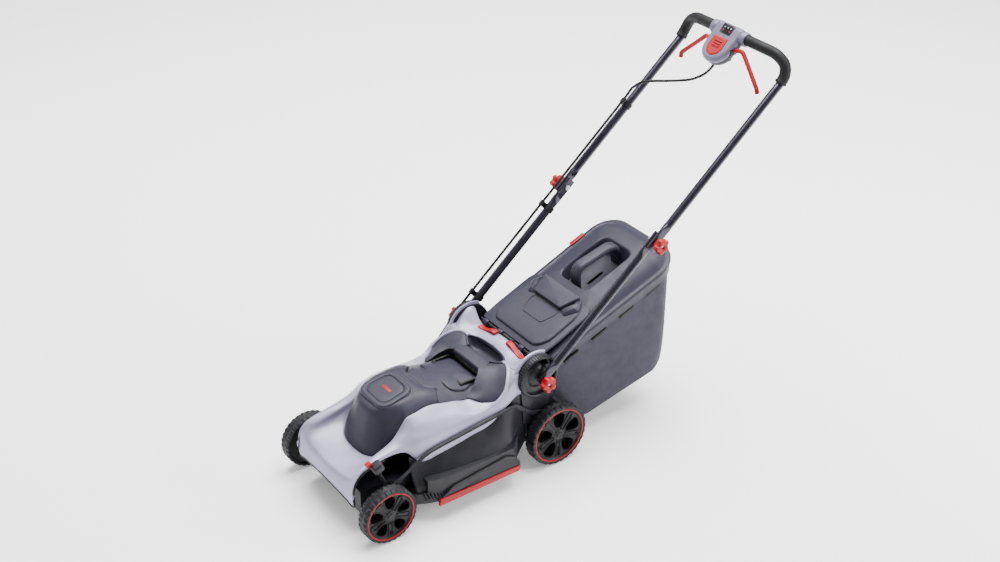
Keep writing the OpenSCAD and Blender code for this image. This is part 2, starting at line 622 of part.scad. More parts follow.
rod_rear = [rear_y + arm_dy, rear_z + arm_dz + rod_pin_h];
rod_rise = [158, 198];
rod_crest = [440, 230];
rod_dip = [496, 184];
// Bent strip of half width r along the points p of a side view
function strip_side(p, r) = [for (i = [0 : len(p) - 1])
    let (a = unit(p[i] - p[max(i - 1, 0)] + (i == 0 ? p[1] - p[0] : [0, 0])),
        b = unit(p[min(i + 1, len(p) - 1)] - p[i] + (i == len(p) - 1 ? p[i] - p[i - 1] : [0, 0])),
        m = unit(a + b))
    p[i] + [-m[1], m[0]] * r / (m * b)];
module link_rod() color([0.2, 0.2, 0.23]) at_axle() difference() {
    route = [rod_front, rod_rise, rod_crest, rod_dip, rod_rear];
    union() {
        profile_x(concat(strip_side(route, 5), [for (k = [4 : -1 : 0]) strip_side(route, -5)[k]]),
            rod_x - rod_t / 2, rod_x + rod_t / 2);
        for (p = [rod_front, rod_rear])
            bar_x(7, rod_x - rod_t / 2, rod_x + rod_t / 2, p[0], p[1]);
    }
    bar_x(rod_pin_r + run_gap, 0, 300, rod_front[0], rod_front[1]);
    bar_x(rod_pin_r + 0.6, 0, 300, rod_rear[0], rod_rear[1]);
}

// ---- rear flap and its fittings ----
module hinge_rod() color([0.5, 0.5, 0.52]) at_axle() bar_x(4, -134, 134, hinge_y, hinge_z);
module flap_spring() color([0.6, 0.6, 0.62]) at_axle() difference() {
    bar_x(6.5, -24, 24, hinge_y, hinge_z);
    bar_x(4.1, -30, 30, hinge_y, hinge_z);
}
module rear_flap() color([0.42, 0.41, 0.47]) at_axle() difference() {
    union() {
        // plate over the front of the lid, following its slope
        profile_x([[hinge_y - 2, hinge_z + 6], [hinge_y + 4, hinge_z + 12], [572, 330],
            [748, 404], [748, 400], [574, 325], [hinge_y + 6, hinge_z + 6]], -132, 132);
        profile_x([[696, 372], [700, 392], [752, 420], [766, 412], [762, 396], [752, 396]], -82, 82);
        for (x = [-128, -60, 40, 108]) bar_x(8, x, x + 20, hinge_y, hinge_z);
        for (x = [-128, -60, 40, 108]) translate([x, hinge_y - 4, hinge_z])
            cube([20, 12, 11]);
    }
    bar_x(4 + run_gap, -140, 140, hinge_y, hinge_z);
    bar_x(7, -25, 25, hinge_y, hinge_z);
}
catch_y = 520;
catch_z = 312;
module catch_pockets() for (s = [-1, 1]) side(s)
    translate([62, catch_y - 16, catch_z - 12]) cube([40, 46, 80]);
module flap_catches() color([0.92, 0.25, 0.33]) at_axle() for (s = [-1, 1]) side(s)
    translate([82, catch_y, catch_z + 20]) rotate([-14, 0, 0]) translate([-16, -13, -8]) cube([32, 26, 14]);

// ---- collector box ----
function lid_line(y) = lid_z + tan(lid_slope) * (y - box_y);
box_end = box_y + box_len;
module lid_plan(w, h0) translate([0, 0, h0]) linear_extrude(700) hull() {
    for (s = [-1, 1]) {
        translate([s * (w - 30), box_y + 20]) circle(r = 20, $fn = 32);
        translate([s * (w - 76), box_end - 80]) circle(r = 80, $fn = 32);
    }
}
crown_y = 772;            // front of the raised middle, behind the rear flap
module crown_hull(g) hull() {
    translate([g - 132, crown_y + g, lid_line(crown_y) - 2 - g]) cube([264 - 2 * g, 4, 1]);
    for (y = [crown_y + 6 + g, box_end - 70 - g]) translate([g - 84, y, lid_line(y) + crown - g])
        cube([168 - 2 * g, 4, 1]);
    translate([g - 132, box_end - 30 - g, lid_line(box_end - 30) - 2 - g]) cube([264 - 2 * g, 4, 1]);
}
recess_half = 64;         // hand recess in the lid
recess_y0 = 790;
recess_y1 = 940;
recess_floor = 372;
module recess(g) profile_x([[recess_y0 - g, recess_floor - g], [recess_y1 + g, recess_floor - g],
    [recess_y1 + g, lid_line(recess_y1) + crown + (g > 0 ? -2 : 60)],
    [recess_y0 - g, lid_line(recess_y0) + crown + (g > 0 ? -2 : 60)]],
    -recess_half - g, recess_half + g);
module box_lid() color([0.36, 0.35, 0.4]) at_axle() difference() {
    union() {
        difference() {
            union() {
                intersection() {
                    lid_plan(rim_half, 100);
                    profile_x([[box_y, lid_line(box_y) - rim_t], [box_end, lid_line(box_end) - rim_t],
                        [box_end, lid_line(box_end)], [box_y, lid_line(box_y)]], -200, 200);
                }
                crown_hull(0);
            }
            // hollow underside
            translate([0, 0, -cover_wall]) intersection() {
                lid_plan(rim_half - 12, 100);
                profile_x([[box_y + 12, 0], [box_end - 12, 0], [box_end - 12, lid_line(box_end - 12)],
                    [box_y + 12, lid_line(box_y + 12)]], -200, 200);
            }
            crown_hull(cover_wall);
        }
        recess(cover_wall);
    }
    recess(0);
    indicator_seat();
}
module box_handle() color([0.2, 0.2, 0.22]) at_axle()
    profile_x([[774, lid_line(774) + crown + 1.5], [778, 462], [790, 476], [904, 505], [930, 503],
        [939.7, 494], [939.7, 482], [925, 490], [906, 491], [806, 463],
        [788, lid_line(788) + crown + 1.5]], -15, 15);
module indicator_seat() translate([-rim_half - 1, 884, lid_line(884)]) cube([15.5, 60, 80]);
module fill_indicator() color([0.9, 0.2, 0.25]) at_axle() translate([-rim_half + 0.5, 886, lid_line(886)])
    rotate([lid_slope, 0, 0]) cube([13, 56, 4]);
// Side profile of the box's body, drawn in by g all round
function body_profile(g) = [[box_y - 1, lid_line(box_y) - rim_t - gap + (g > 0 ? 40 : 0)],
    [box_y - 1, 196 + g], [634 + g, 150 + g], [634 + g, 90 + g], [712, 60 + g],
    [975 - g, 114 + g], [1023 - g, 156], [box_end - 12 - g, lid_line(box_end - 14) - rim_t - gap],
    [box_end - 12 - g, lid_line(box_end - 14) - rim_t - gap + (g > 0 ? 40 : 0)]];
module body_solid(w, g) intersection() {
    profile_x(body_profile(g), -w, w);
    translate([0, 0, -60]) lid_plan(w + 2, 0);
}
module box_body() color([0.3, 0.29, 0.34]) at_axle() difference() {
    body_solid(box_half, 0);
    body_solid(box_half - box_wall, box_wall);
    // open mouth at the front
    translate([-box_half + box_wall, box_y - 5, 200]) cube([2 * (box_half - box_wall), 20, 80]);
}

deck_shell();
skirt_left();
skirt_right();
skirt_trims();
top_cover();
motor_cover();
badge_pad();
carry_cover();
battery_bay();
controller();
motor_can();
handle_mount_left();
handle_mount_right();
hinge_rod();
flap_spring();
lower_bolts();
cable_tail();
motor_shaft();
blade_holder();
blade();
blade_bolt();
battery_pack();
front_axle();
height_lever();
rear_axle();
link_rod();
front_left_tyre();
front_left_rim();
front_right_tyre();
front_right_rim();
rear_left_tyre();
rear_left_rim();
rear_right_tyre();
rear_right_rim();
lower_tube_left();
lower_tube_right();
upper_bolts();
clips_lower();
cable_lower();
lower_knob_left();
lower_knob_right();
upper_knob_left();
upper_knob_right();
upper_tube();
grip_left();
grip_right();
control_box();
display_window();
clip_upper();
cable_upper();
drive_paddle();
bail_levers();
safety_key();
rear_flap();
flap_catches();
box_lid();
box_body();
box_handle();
fill_indicator();
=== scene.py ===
"""Push lawn mower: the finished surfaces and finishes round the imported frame.

Lengths in the shape functions are millimetres, x to the mower's left, y behind the front
axle and z up from the ground; place() turns them into metres in the frame."""

import json
import math

import bmesh
import bpy
import numpy as np
from bpy.props import FloatProperty, FloatVectorProperty, IntProperty, PointerProperty
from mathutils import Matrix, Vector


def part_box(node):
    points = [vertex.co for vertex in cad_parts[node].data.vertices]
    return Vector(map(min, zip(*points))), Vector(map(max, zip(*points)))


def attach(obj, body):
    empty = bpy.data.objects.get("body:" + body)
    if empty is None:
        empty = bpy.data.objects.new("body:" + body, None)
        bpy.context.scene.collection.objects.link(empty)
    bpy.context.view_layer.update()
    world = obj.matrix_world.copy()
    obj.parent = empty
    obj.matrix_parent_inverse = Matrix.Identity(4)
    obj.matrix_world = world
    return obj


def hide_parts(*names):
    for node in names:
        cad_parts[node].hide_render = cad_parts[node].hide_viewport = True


bl_info = {
    "name": "Push lawn mower",
    "version": (1, 0, 0),
    "blender": (4, 5, 0),
    "location": "3D View > Sidebar > Mower",
    "description": "Builds the covers, wheels, handle and collector box of a push lawn mower",
    "category": "Object",
}

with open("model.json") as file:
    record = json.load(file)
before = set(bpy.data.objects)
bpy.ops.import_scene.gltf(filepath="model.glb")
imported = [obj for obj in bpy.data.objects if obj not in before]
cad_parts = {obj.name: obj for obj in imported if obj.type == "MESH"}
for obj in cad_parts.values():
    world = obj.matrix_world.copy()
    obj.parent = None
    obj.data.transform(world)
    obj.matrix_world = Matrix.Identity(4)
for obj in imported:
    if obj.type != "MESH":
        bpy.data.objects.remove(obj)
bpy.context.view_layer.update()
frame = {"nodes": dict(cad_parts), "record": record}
FRONT_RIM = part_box("front_left_rim")
AXLE_Y = (FRONT_RIM[0][1] + FRONT_RIM[1][1]) / 2
SLOPE = math.radians(40)           # rise of the handle tubes
PIVOT = (522.0, 295.0)             # y and z of the lower clamp bolts
JOINT_S = 490.0                    # upper clamp bolts, along the slope from the lower ones
LOOP_S = 1053.0                    # start of the handle's top bend, along the slope
LID_SLOPE = math.radians(21.3)     # rise of the collector lid's rim
BOX_Y = 585.0                      # front of the collector box
BOX_END = 1045.0                   # rear of the collector lid
STEP_INSET = 7.0                   # inset up to which an outline keeps its shape


# ---- shape tools ----
def place(v):
    """Millimetres behind the front axle to metres in the frame: y is moved by the axle's place."""
    v = np.asarray(v, float) / 1000
    return v + np.array([0, AXLE_Y, 0])


def spline(points, steps=8, closed=False):
    """Catmull-Rom curve through points: a cubic between each two, steps samples to a span."""
    p = np.asarray(points, float)
    if closed:
        q = np.concatenate([p[-1:], p, p[:2]])
        spans = len(p)
    else:
        q = np.concatenate([2 * p[:1] - p[1:2], p, 2 * p[-1:] - p[-2:-1]])
        spans = len(p) - 1
    t = np.arange(spans * steps + (0 if closed else 1)) / steps
    i = np.minimum(t.astype(int), spans - 1)
    f = (t - i).reshape((-1,) + (1,) * (p.ndim - 1))
    a, b, c, d = q[i], q[i + 1], q[i + 2], q[i + 3]
    return 0.5 * (2 * b + (c - a) * f + (2 * a - 5 * b + 4 * c - d) * f ** 2
                  + (3 * b - a - 3 * c + d) * f ** 3)


def net(lines, steps_u=6, steps_v=6):
    """Surface through a net of points: the curve rule along one side, then along the other."""
    g = spline(np.asarray(lines, float), steps_v)
    return np.swapaxes(spline(np.swapaxes(g, 0, 1), steps_u), 0, 1)


def unit(v):
    """Vectors divided by their lengths."""
    return v / np.maximum(np.linalg.norm(v, axis=-1, keepdims=True), 1e-12)


def faces_of(rows, cols, wrap=False, ends=False):
    """Quads of a rows by cols grid; wrap joins the last column to the first, ends closes
    the first and last row with a fan round an added middle point each."""
    k = np.arange(rows * cols).reshape(rows, cols)
    if wrap:
        k = np.concatenate([k, k[:, :1]], 1)
    q = np.stack([k[:-1, :-1], k[:-1, 1:], k[1:, 1:], k[1:, :-1]], -1).reshape(-1, 4)
    out = q.tolist()
    if ends:
        n = rows * cols
        a, b = k[0], k[-1]
        out += np.stack([a[1:], a[:-1], np.full(len(a) - 1, n)], -1).tolist()
        out += np.stack([b[:-1], b[1:], np.full(len(b) - 1, n + 1)], -1).tolist()
    return out


def grid(v, wrap=False, ends=False):
    """(points, faces) of a rows by cols grid of points."""
    rows, cols = v.shape[:2]
    pts = v.reshape(-1, 3)
    if ends:
        pts = np.concatenate([pts, v[:1].mean(1), v[-1:].mean(1)])
    return pts, faces_of(rows, cols, wrap, ends)


def tube(path, radius, sides=16, up=(0, 0, 1), flat=1.0):
    """Round bar along a path: a circle of the given radii, flattened by flat, set square to
    the path at each of its points. radius may be one value or one for each point."""
    path = np.asarray(path, float)
    t = unit(np.gradient(path, axis=0))
    n = unit(np.cross(np.asarray(up, float), t))
    b = np.cross(t, n)
    r = np.broadcast_to(np.asarray(radius, float), (len(path),))[:, None, None]
    a = np.linspace(0, 2 * np.pi, sides, endpoint=False)[None, :, None]
    f = np.broadcast_to(np.asarray(flat, float), (len(path),))[:, None, None]
    v = path[:, None] + r * (np.cos(a) * f * n[:, None] + np.sin(a) * b[:, None])
    return grid(v, True, True)


def ribbon(path, half, up=(0, 0, 1)):
    """Bar along a path whose section is the closed outline half, in the path's own axes."""
    path = np.asarray(path, float)
    t = unit(np.gradient(path, axis=0))
    n = unit(np.cross(np.asarray(up, float), t))
    b = np.cross(t, n)
    half = np.asarray(half, float)
    v = path[:, None] + half[None, :, :1] * n[:, None] + half[None, :, 1:] * b[:, None]
    return grid(v, True, True)


def corners(points, r, k=5):
    """Closed outline with rounded corners: a quadratic bend of reach r in place of each."""
    p = np.asarray(points, float)
    r = np.broadcast_to(np.asarray(r, float), (len(p),))[:, None]
    a = p + unit(np.roll(p, 1, 0) - p) * r
    b = p + unit(np.roll(p, -1, 0) - p) * r
    t = np.linspace(0, 1, k)[None, :, None]
    return ((1 - t) ** 2 * a[:, None] + 2 * t * (1 - t) * p[:, None]
            + t ** 2 * b[:, None]).reshape(-1, 2)


def slab(outline, levels, at, ex, ey, ez):
    """Solid on an outline: for each (inset, height) level the outline is drawn in by inset
    along its own normals and set at that height; both ends are closed. Past STEP_INSET it
    shrinks towards its middle instead, so that it can't fold over itself."""
    o = np.asarray(outline, float)
    t = unit(np.roll(o, -1, 0) - np.roll(o, 1, 0))
    n = np.stack([t[:, 1], -t[:, 0]], -1)
    if np.sum(o[:, 0] * np.roll(o[:, 1], -1) - o[:, 1] * np.roll(o[:, 0], -1)) < 0:
        n = -n
    lv = np.asarray(levels, float)
    c = (o.min(0) + o.max(0)) / 2
    reach = np.linalg.norm(o - c, axis=1).mean()
    near = np.minimum(lv[:, :1], STEP_INSET)
    p = o[None] - near[:, None] * n[None]
    p = p + (c - p) * ((lv[:, :1] - near) / reach)[:, None]
    h = np.broadcast_to(lv[:, None, 1:], p.shape[:2] + (1,))
    ex, ey, ez = (np.asarray(e, float) for e in (ex, ey, ez))
    v = np.asarray(at, float) + p[..., :1] * ex + p[..., 1:] * ey + h * ez
    return grid(v, True, True)


def soft_levels(h0, h1, r, k=4):
    """Levels of a slab from h0 to h1 whose upper and lower rims are quarter circles of r."""
    a = np.linspace(0, np.pi / 2, k)
    low = np.stack([r * (1 - np.sin(a)), h0 + r * (1 - np.cos(a))], -1)
    high = np.stack([r * (1 - np.cos(a)), h1 - r * (1 - np.sin(a))], -1)
    return np.concatenate([low, high])


def lathe(profile, at, axis=(1, 0, 0), n=64, wobble=None):
    """Turned form: profile points (radius, along) carried round the axis through at.
    wobble(angle, row) may add to the radius."""
    p = np.asarray(profile, float)
    a = np.linspace(0, 2 * np.pi, n, endpoint=False)
    axis = unit(np.asarray(axis, float))
    e = unit(np.cross(axis, [0, 0, 1] if abs(axis[2]) < 0.9 else [0, 1, 0]))
    f = np.cross(axis, e)
    r = np.broadcast_to(p[:, None, 0], (len(p), n))
    if wobble is not None:
        r = r + wobble(a[None], np.arange(len(p))[:, None])
    v = (np.asarray(at, float) + r[..., None] * (np.cos(a)[None, :, None] * e
         + np.sin(a)[None, :, None] * f) + p[:, None, 1:] * axis)
    return grid(v, True, True)


def open_lathe(profile, at, n, wobble=None):
    """Turned ring whose section closes on itself, so it has no end caps."""
    points = lathe(profile, at, n=n, wobble=wobble)[0]
    rows = len(profile)
    return points[:rows * n], faces_of(rows, n, True)


def mirrored(part):
    """The same form on the other side of the middle plane."""
    v, f = part
    return np.asarray(v) * np.array([-1, 1, 1]), [c[::-1] for c in f]


def both(part):
    """A form and its mirror image."""
    return [part, mirrored(part)]


def slope_at(x, s, h=0.0):
    """Point x across, s along the lower handle's line from its pivot and h above that line."""
    s, h = np.asarray(s, float), np.asarray(h, float)
    x = np.broadcast_to(np.asarray(x, float), np.broadcast(s, h).shape)
    return np.stack([x, PIVOT[0] + s * math.cos(SLOPE) - h * math.sin(SLOPE),
                     PIVOT[1] + s * math.sin(SLOPE) + h * math.cos(SLOPE)], -1)


def lid_z(y):
    """Height of the lid's rim plane at y."""
    return 309 + 0.39 * (BOX_Y - 571) + math.tan(LID_SLOPE) * (np.asarray(y, float) - BOX_Y)


def piece(name, parts, body, material, replaces=(), bevel=0.0, wall=0.0,
          smooth=35):
    """Joins parts into one mesh, welds it, turns its faces outwards and lets it ride. Edges
    sharper than smooth degrees stay crisp; wall and bevel are in millimetres."""
    verts, faces, base = [], [], 0
    for v, f in parts:
        verts.append(place(v))
        faces += [[i + base for i in c] for c in f]
        base += len(v)
    mesh = bpy.data.meshes.new(name)
    mesh.from_pydata(np.concatenate(verts).tolist(), [], faces)
    bm = bmesh.new()
    bm.from_mesh(mesh)
    bmesh.ops.remove_doubles(bm, verts=bm.verts, dist=2e-6)
    bmesh.ops.dissolve_degenerate(bm, edges=bm.edges, dist=1e-7)
    bmesh.ops.recalc_face_normals(bm, faces=bm.faces)
    bm.to_mesh(mesh)
    bm.free()
    mesh.polygons.foreach_set("use_smooth", np.ones(len(mesh.polygons), bool))
    mesh.set_sharp_from_angle(angle=math.radians(smooth))
    obj = bpy.data.objects.new(name, mesh)
    bpy.context.scene.collection.objects.link(obj)
    mesh.materials.append(finish(material))
    if wall:
        m = obj.modifiers.new("wall", "SOLIDIFY")
        m.thickness = wall / 1000
        m.offset = -1
    if bevel:
        m = obj.modifiers.new("edge", "BEVEL")
        m.width = bevel / 1000
        m.segments = 2
        m.angle_limit = math.radians(40)
    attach(obj, body)
    if replaces:
        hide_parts(*replaces)
    return obj


# ---- sizes and colours ----
def colour(name, text, value):
    """Colour property with its words and default."""
    return FloatVectorProperty(name=name, description=text, subtype="COLOR", size=3,
                               min=0.0, max=1.0, default=value)


class MowerColours(bpy.types.PropertyGroup):
    """Colours of the mower's finishes."""
    pale: colour("Pale shell", "Silver lilac of the top cover and control box", (0.31, 0.30, 0.41))
    mid: colour("Control box", "Silver grey of the control box", (0.135, 0.13, 0.185))
    charcoal: colour("Charcoal", "Dome, carrying frame, lid and flap", (0.021, 0.020, 0.033))
    fabric: colour("Box side", "Body of the collector box", (0.021, 0.020, 0.033))
    deck: colour("Deck", "Deck, side plates and hub shrouds", (0.009, 0.0085, 0.013))
    black: colour("Black", "Bays, rims and small fittings", (0.004, 0.004, 0.005))
    red: colour("Red", "Knobs, levers and trims", (0.30, 0.0, 0.004))
    tube: colour("Tube", "Painted handle tubes", (0.030, 0.028, 0.040))
    rubber: colour("Tread", "Wheel treads", (0.008, 0.008, 0.011))
    steel: colour("Steel", "Blade, bolts and rods", (0.55, 0.55, 0.58))
    floor: colour("Floor", "Studio floor", (0.97, 0.97, 0.97))


class MowerSizes(bpy.types.PropertyGroup):
    """Sizes that a user would change, in millimetres."""
    lug_depth: FloatProperty(name="Lug depth", description="Height of the tread lugs",
                             default=2.6, min=0.5, max=5.0)
    lugs: IntProperty(name="Lugs", description="Lugs round each wheel", default=30, min=12, max=60)
    knob_r: FloatProperty(name="Knob radius", description="Outer radius of the clamp knobs",
                          default=23.5, min=14.0, max=26.0)
    grain: FloatProperty(name="Grain", description="Grains to a metre in moulded plastic",
                         default=900.0, min=100.0, max=3000.0)
    cover_wall: FloatProperty(name="Cover wall", description="Wall of the moulded covers",
                              default=3.0, min=1.0, max=6.0)


# ---- finishes ----
FINISHES = {
    # name: colour, roughness, metal, grain strength, clear coat, pale fleck
    "pale": ("pale", 0.42, 0.25, 0.10, 0.15, 0.0),
    "mid": ("mid", 0.42, 0.25, 0.10, 0.10, 0.0),
    "charcoal": ("charcoal", 0.46, 0.0, 0.35, 0.0, 0.14),
    "fabric": ("fabric", 0.62, 0.0, 0.60, 0.0, 0.30),
    "deck": ("deck", 0.40, 0.0, 0.20, 0.0, 0.05),
    "black": ("black", 0.48, 0.0, 0.25, 0.0, 0.0),
    "red": ("red", 0.42, 0.0, 0.12, 0.05, 0.0),
    "tube": ("tube", 0.26, 0.75, 0.05, 0.3, 0.0),
    "rubber": ("rubber", 0.55, 0.0, 0.30, 0.0, 0.05),
    "steel": ("steel", 0.30, 1.0, 0.10, 0.0, 0.0),
    "foam": ("black", 0.60, 0.0, 0.45, 0.0, 0.0),
    "glass": ("black", 0.10, 0.0, 0.0, 0.5, 0.0),
    "floor": ("floor", 0.85, 0.0, 0.0, 0.0, 0.0),
}
_made = {}


def finish(name):
    """Procedural finish: a slow drift of tone, a fine grain that lifts the surface, pale
    flecks where the grain peaks, and roughness that follows a broader cloud. The floor has
    no drift, and glows a little so that it stays pale."""
    if name in _made:
        return _made[name]
    looks = bpy.context.scene.mower_colours
    sizes = bpy.context.scene.mower_sizes
    key, rough, metal, grain, coat, fleck = FINISHES[name]
    base = list(getattr(looks, key))
    drift = 0.0 if name == "floor" else 1.0
    mat = bpy.data.materials.new(name)
    mat.use_nodes = True
    tree = mat.node_tree
    nodes, links = tree.nodes, tree.links
    shader = nodes["Principled BSDF"]
    shader.inputs["Metallic"].default_value = metal
    shader.inputs["Coat Weight"].default_value = coat
    shader.inputs["Coat Roughness"].default_value = 0.25
    shader.inputs["Specular IOR Level"].default_value = 0.25
    if name == "floor":
        shader.inputs["Emission Color"].default_value = (1, 1, 1, 1)
        shader.inputs["Emission Strength"].default_value = 0.25
    coords = nodes.new("ShaderNodeTexCoord")

    def noise(scale, detail):
        n = nodes.new("ShaderNodeTexNoise")
        n.inputs["Scale"].default_value = scale
        n.inputs["Detail"].default_value = detail
        links.new(coords.outputs["Object"], n.inputs["Vector"])
        return n.outputs["Fac"]

    def mix(fac, a, b):
        m = nodes.new("ShaderNodeMix")
        m.data_type = "RGBA"
        links.new(fac, m.inputs["Factor"])
        for socket, value in (("A", a), ("B", b)):
            slot = [s for s in m.inputs if s.name == socket and s.type == "RGBA"][0]
            if isinstance(value, list):
                slot.default_value = value
            else:
                links.new(value, slot)
        return [s for s in m.outputs if s.type == "RGBA"][0]

    def ramp(fac, lo, hi, a=0.0, b=1.0):
        r = nodes.new("ShaderNodeMapRange")
        links.new(fac, r.inputs["Value"])
        for socket, value in (("From Min", lo), ("From Max", hi), ("To Min", a), ("To Max", b)):
            r.inputs[socket].default_value = value
        return r.outputs["Result"]

    dark = [c * (1 - 0.10 * drift) for c in base] + [1]
    light = [min(1, c * (1 + 0.08 * drift)) for c in base] + [1]
    tone = mix(ramp(noise(9.0, 4.0), 0.35, 0.65), dark, light)
    fine = noise(sizes.grain, 3.0)
    if fleck:
        pale = [min(1, c * (1 + 5 * fleck)) for c in base] + [1]
        tone = mix(ramp(fine, 0.52, 0.72), tone, pale)
    links.new(tone, shader.inputs["Base Color"])
    links.new(ramp(noise(38.0, 5.0), 0.3, 0.7, rough - 0.06, rough + 0.08),
              shader.inputs["Roughness"])
    if grain:
        bump = nodes.new("ShaderNodeBump")
        bump.inputs["Strength"].default_value = grain
        bump.inputs["Distance"].default_value = 0.0004
        links.new(fine, bump.inputs["Height"])
        links.new(bump.outputs["Normal"], shader.inputs["Normal"])
    _made[name] = mat
    return mat


# ---- wheels ----
def tread(r, width, lugs, depth):
    """Tyre from outer face x = 0 to -width: a rounded square section turned round the axle,
    lifted by lugs that alternate from shoulder to shoulder and by a smooth middle band."""
    half = width / 2
    c = np.linspace(-1, 1, 25)
    crown = r - depth - 3.5 * np.abs(c) ** 6
    prof = np.stack([crown, half * c - half], -1)
    seat = 0.863 * r + 2.4
    face_in = np.array([[seat, -width + 2.5], [r - 5, -width + 0.4]])
    face_out = np.array([[r - 5, -0.4], [seat, -1.6]])
    prof = np.concatenate([face_in, prof, face_out, [[seat, -5]], [[seat, -width + 5]]])
    outer = slice(len(face_in), len(face_in) + len(c))
    rows = np.zeros(len(prof))
    rows[outer] = np.clip((np.abs(c) - 0.30) * 7, 0, 1)
    side = np.zeros(len(prof))
    side[outer] = np.sign(c)

    def wobble(a, i):
        wave = np.sin(a * lugs + side[i] * np.pi / 2 + 0.6 * side[i])
        lug = np.clip(wave * 3 + 0.9, 0, 1)
        mid = (rows[i] < 0.5) * (np.sin(a * lugs * 2) * 0.15 + 0.35) * (side[i] != 0)
        return depth * (rows[i] * lug + mid)
    return prof, wobble


def rim_face(r_in, r_out, depth):
    """Five-spoked face: between each spoke's middle line and a rounded opening the surface
    runs out from the opening's edge, over a raised bead, to the sector's edge."""
    n = 72
    mid = (r_in + r_out) / 2 + 1
    t = np.linspace(0, 2 * np.pi, n, endpoint=False)
    d = np.stack([np.cos(t), np.sin(t)], -1)
    c = np.array([mid, 0.0])

    def to_circle(r, outside):
        b = d @ c
        root = np.sqrt(np.maximum(b ** 2 - (c @ c - r ** 2), 0))
        hit = b ** 2 - (c @ c - r ** 2) >= 0
        s = -b + root if outside else -b - root
        return np.where(hit & (s > 0), s, 1e9)
    lim = to_circle(r_out, True)
    lim = np.minimum(lim, to_circle(r_in, False))
    for s in (-1, 1):
        normal = np.array([-math.sin(s * math.radians(36)), math.cos(s * math.radians(36))]) * s
        den = d @ normal
        reach = (-(c @ normal)) / np.where(np.abs(den) < 1e-9, 1e-9, den)
        lim = np.minimum(lim, np.where(reach > 0, reach, 1e9))
    edge = c + d * lim[:, None]
    span = (r_out - r_in) / 2
    hole_r = (np.abs(np.cos(t) / (span * 0.80)) ** 2.6
              + np.abs(np.sin(t) / (span * 0.64 * (1 + 0.32 * np.cos(t)))) ** 2.6) ** (-1 / 2.6)
    hole = c + d * np.minimum(hole_r, lim * 0.88)[:, None]
    mixes = np.array([1, 0.5, 0.24, 0.12, 0.0, 0.0, 0.5, 1.0])
    heights = np.array([0, 0, 0, 1.8, 1.2, -depth, -depth, -depth], float)
    v2 = hole[None] + mixes[:, None, None] * (edge - hole)[None]
    h = heights[:, None, None] + 0 * v2[..., :1]
    parts = []
    closed = list(range(len(mixes))) + [0]
    for k in range(5):
        a = 2 * np.pi * k / 5 + np.pi / 10
        rot = np.array([[math.cos(a), math.sin(a)], [-math.sin(a), math.cos(a)]])
        w = v2 @ rot
        parts.append(grid(np.concatenate([h, w], -1)[closed], True))
    return parts


def wheel(side, y, z, r, face_x):
    """Parts of a wheel's rim on one side: (black parts, red parts) with the hub at y, z."""
    at = np.array([0.0, y, z])
    rim_r = 0.863 * r
    out = face_x - 7
    black = []
    for part in rim_face(19, rim_r - 6, 14):
        v, f = part if side > 0 else mirrored(part)
        black.append((v + [side * out, y, z], f))
    barrel = [(rim_r - 8, -3), (rim_r - 5, 0), (rim_r - 1, 3.4), (rim_r + 0.5, 3.4),
              (rim_r + 0.8, -24), (rim_r - 4, -24)]
    black.append(open_lathe([(p, side * (out + q)) for p, q in barrel + barrel[:1]], at, 96))
    hub = [(0.01, 5), (9, 5), (9.5, 3.4), (15, 3.4), (17.5, 1), (20, 0.4), (20, -20), (0.01, -20)]
    black.append(lathe([(p, side * (out + q)) for p, q in hub], at, n=48))
    back = [(0.01, -22), (rim_r, -22), (rim_r, -25), (0.01, -25)]
    black.append(lathe([(p, side * (out + q)) for p, q in back], at, n=64))
    for k in range(5):
        a = 2 * np.pi * k / 5 + np.pi / 10 + np.pi / 5
        e = np.array([0, math.cos(a), math.sin(a)])
        g = np.array([0, -math.sin(a), math.cos(a)])
        w0, w1, end = 4.5, 7.0, rim_r - 13
        u = np.array([[18, -w0], [40, -w1 * 0.8], [end, -w1], [end + 3, 0], [end, w1],
                      [40, w1 * 0.8], [18, w0]])
        u = spline(u, 5)
        p = at + u[:, :1] * e + u[:, 1:] * g + np.array([side * (out + 1.0), 0, 0])
        black.append(tube(p, 1.9, 8, up=(1, 0, 0)))
    ring = [(rim_r - 1.7, 3.0), (rim_r - 1.4, 5.4), (rim_r + 1.4, 5.6), (rim_r + 2.0, 3.0)]
    red = [open_lathe([(p, side * (out + q)) for p, q in ring + ring[:1]], at, 128)]
    return black, red


class MOWER_OT_wheels(bpy.types.Operator):
    """Treads with alternating lugs, five-spoked rims and their red rings."""
    bl_idname = "mower.wheels"
    bl_label = "Wheels"

    def execute(self, context):
        s = context.scene.mower_sizes
        for name in ("front_left", "front_right", "rear_left", "rear_right"):
            lo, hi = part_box(name + "_tyre")
            side = 1 if hi[0] > 0 else -1
            y = ((lo[1] + hi[1]) / 2 - AXLE_Y) * 1000
            z = (lo[2] + hi[2]) / 2 * 1000
            r = (hi[2] - lo[2]) / 2 * 1000
            face = max(abs(lo[0]), abs(hi[0])) * 1000
            width = (hi[0] - lo[0]) * 1000
            prof, wobble = tread(r, width, s.lugs, s.lug_depth)
            prof = np.stack([prof[:, 0], side * (face + prof[:, 1])], -1)
            prof = np.concatenate([prof, prof[:1]])
            at = (0, y, z)

            def ring(a, i, wobble=wobble, last=len(prof) - 1):
                return wobble(a, np.where(i == last, 0, i))
            body = name + "_wheel"
            piece(name + "_tread", [open_lathe(prof, at, 240, ring)], body, "rubber",
                  [name + "_tyre"], smooth=28)
            black, red = wheel(side, y, z, r, face)
            piece(name + "_spokes", black, body, "black", [name + "_rim"])
            piece(name + "_ring", red, body, "red", ())
        return {"FINISHED"}


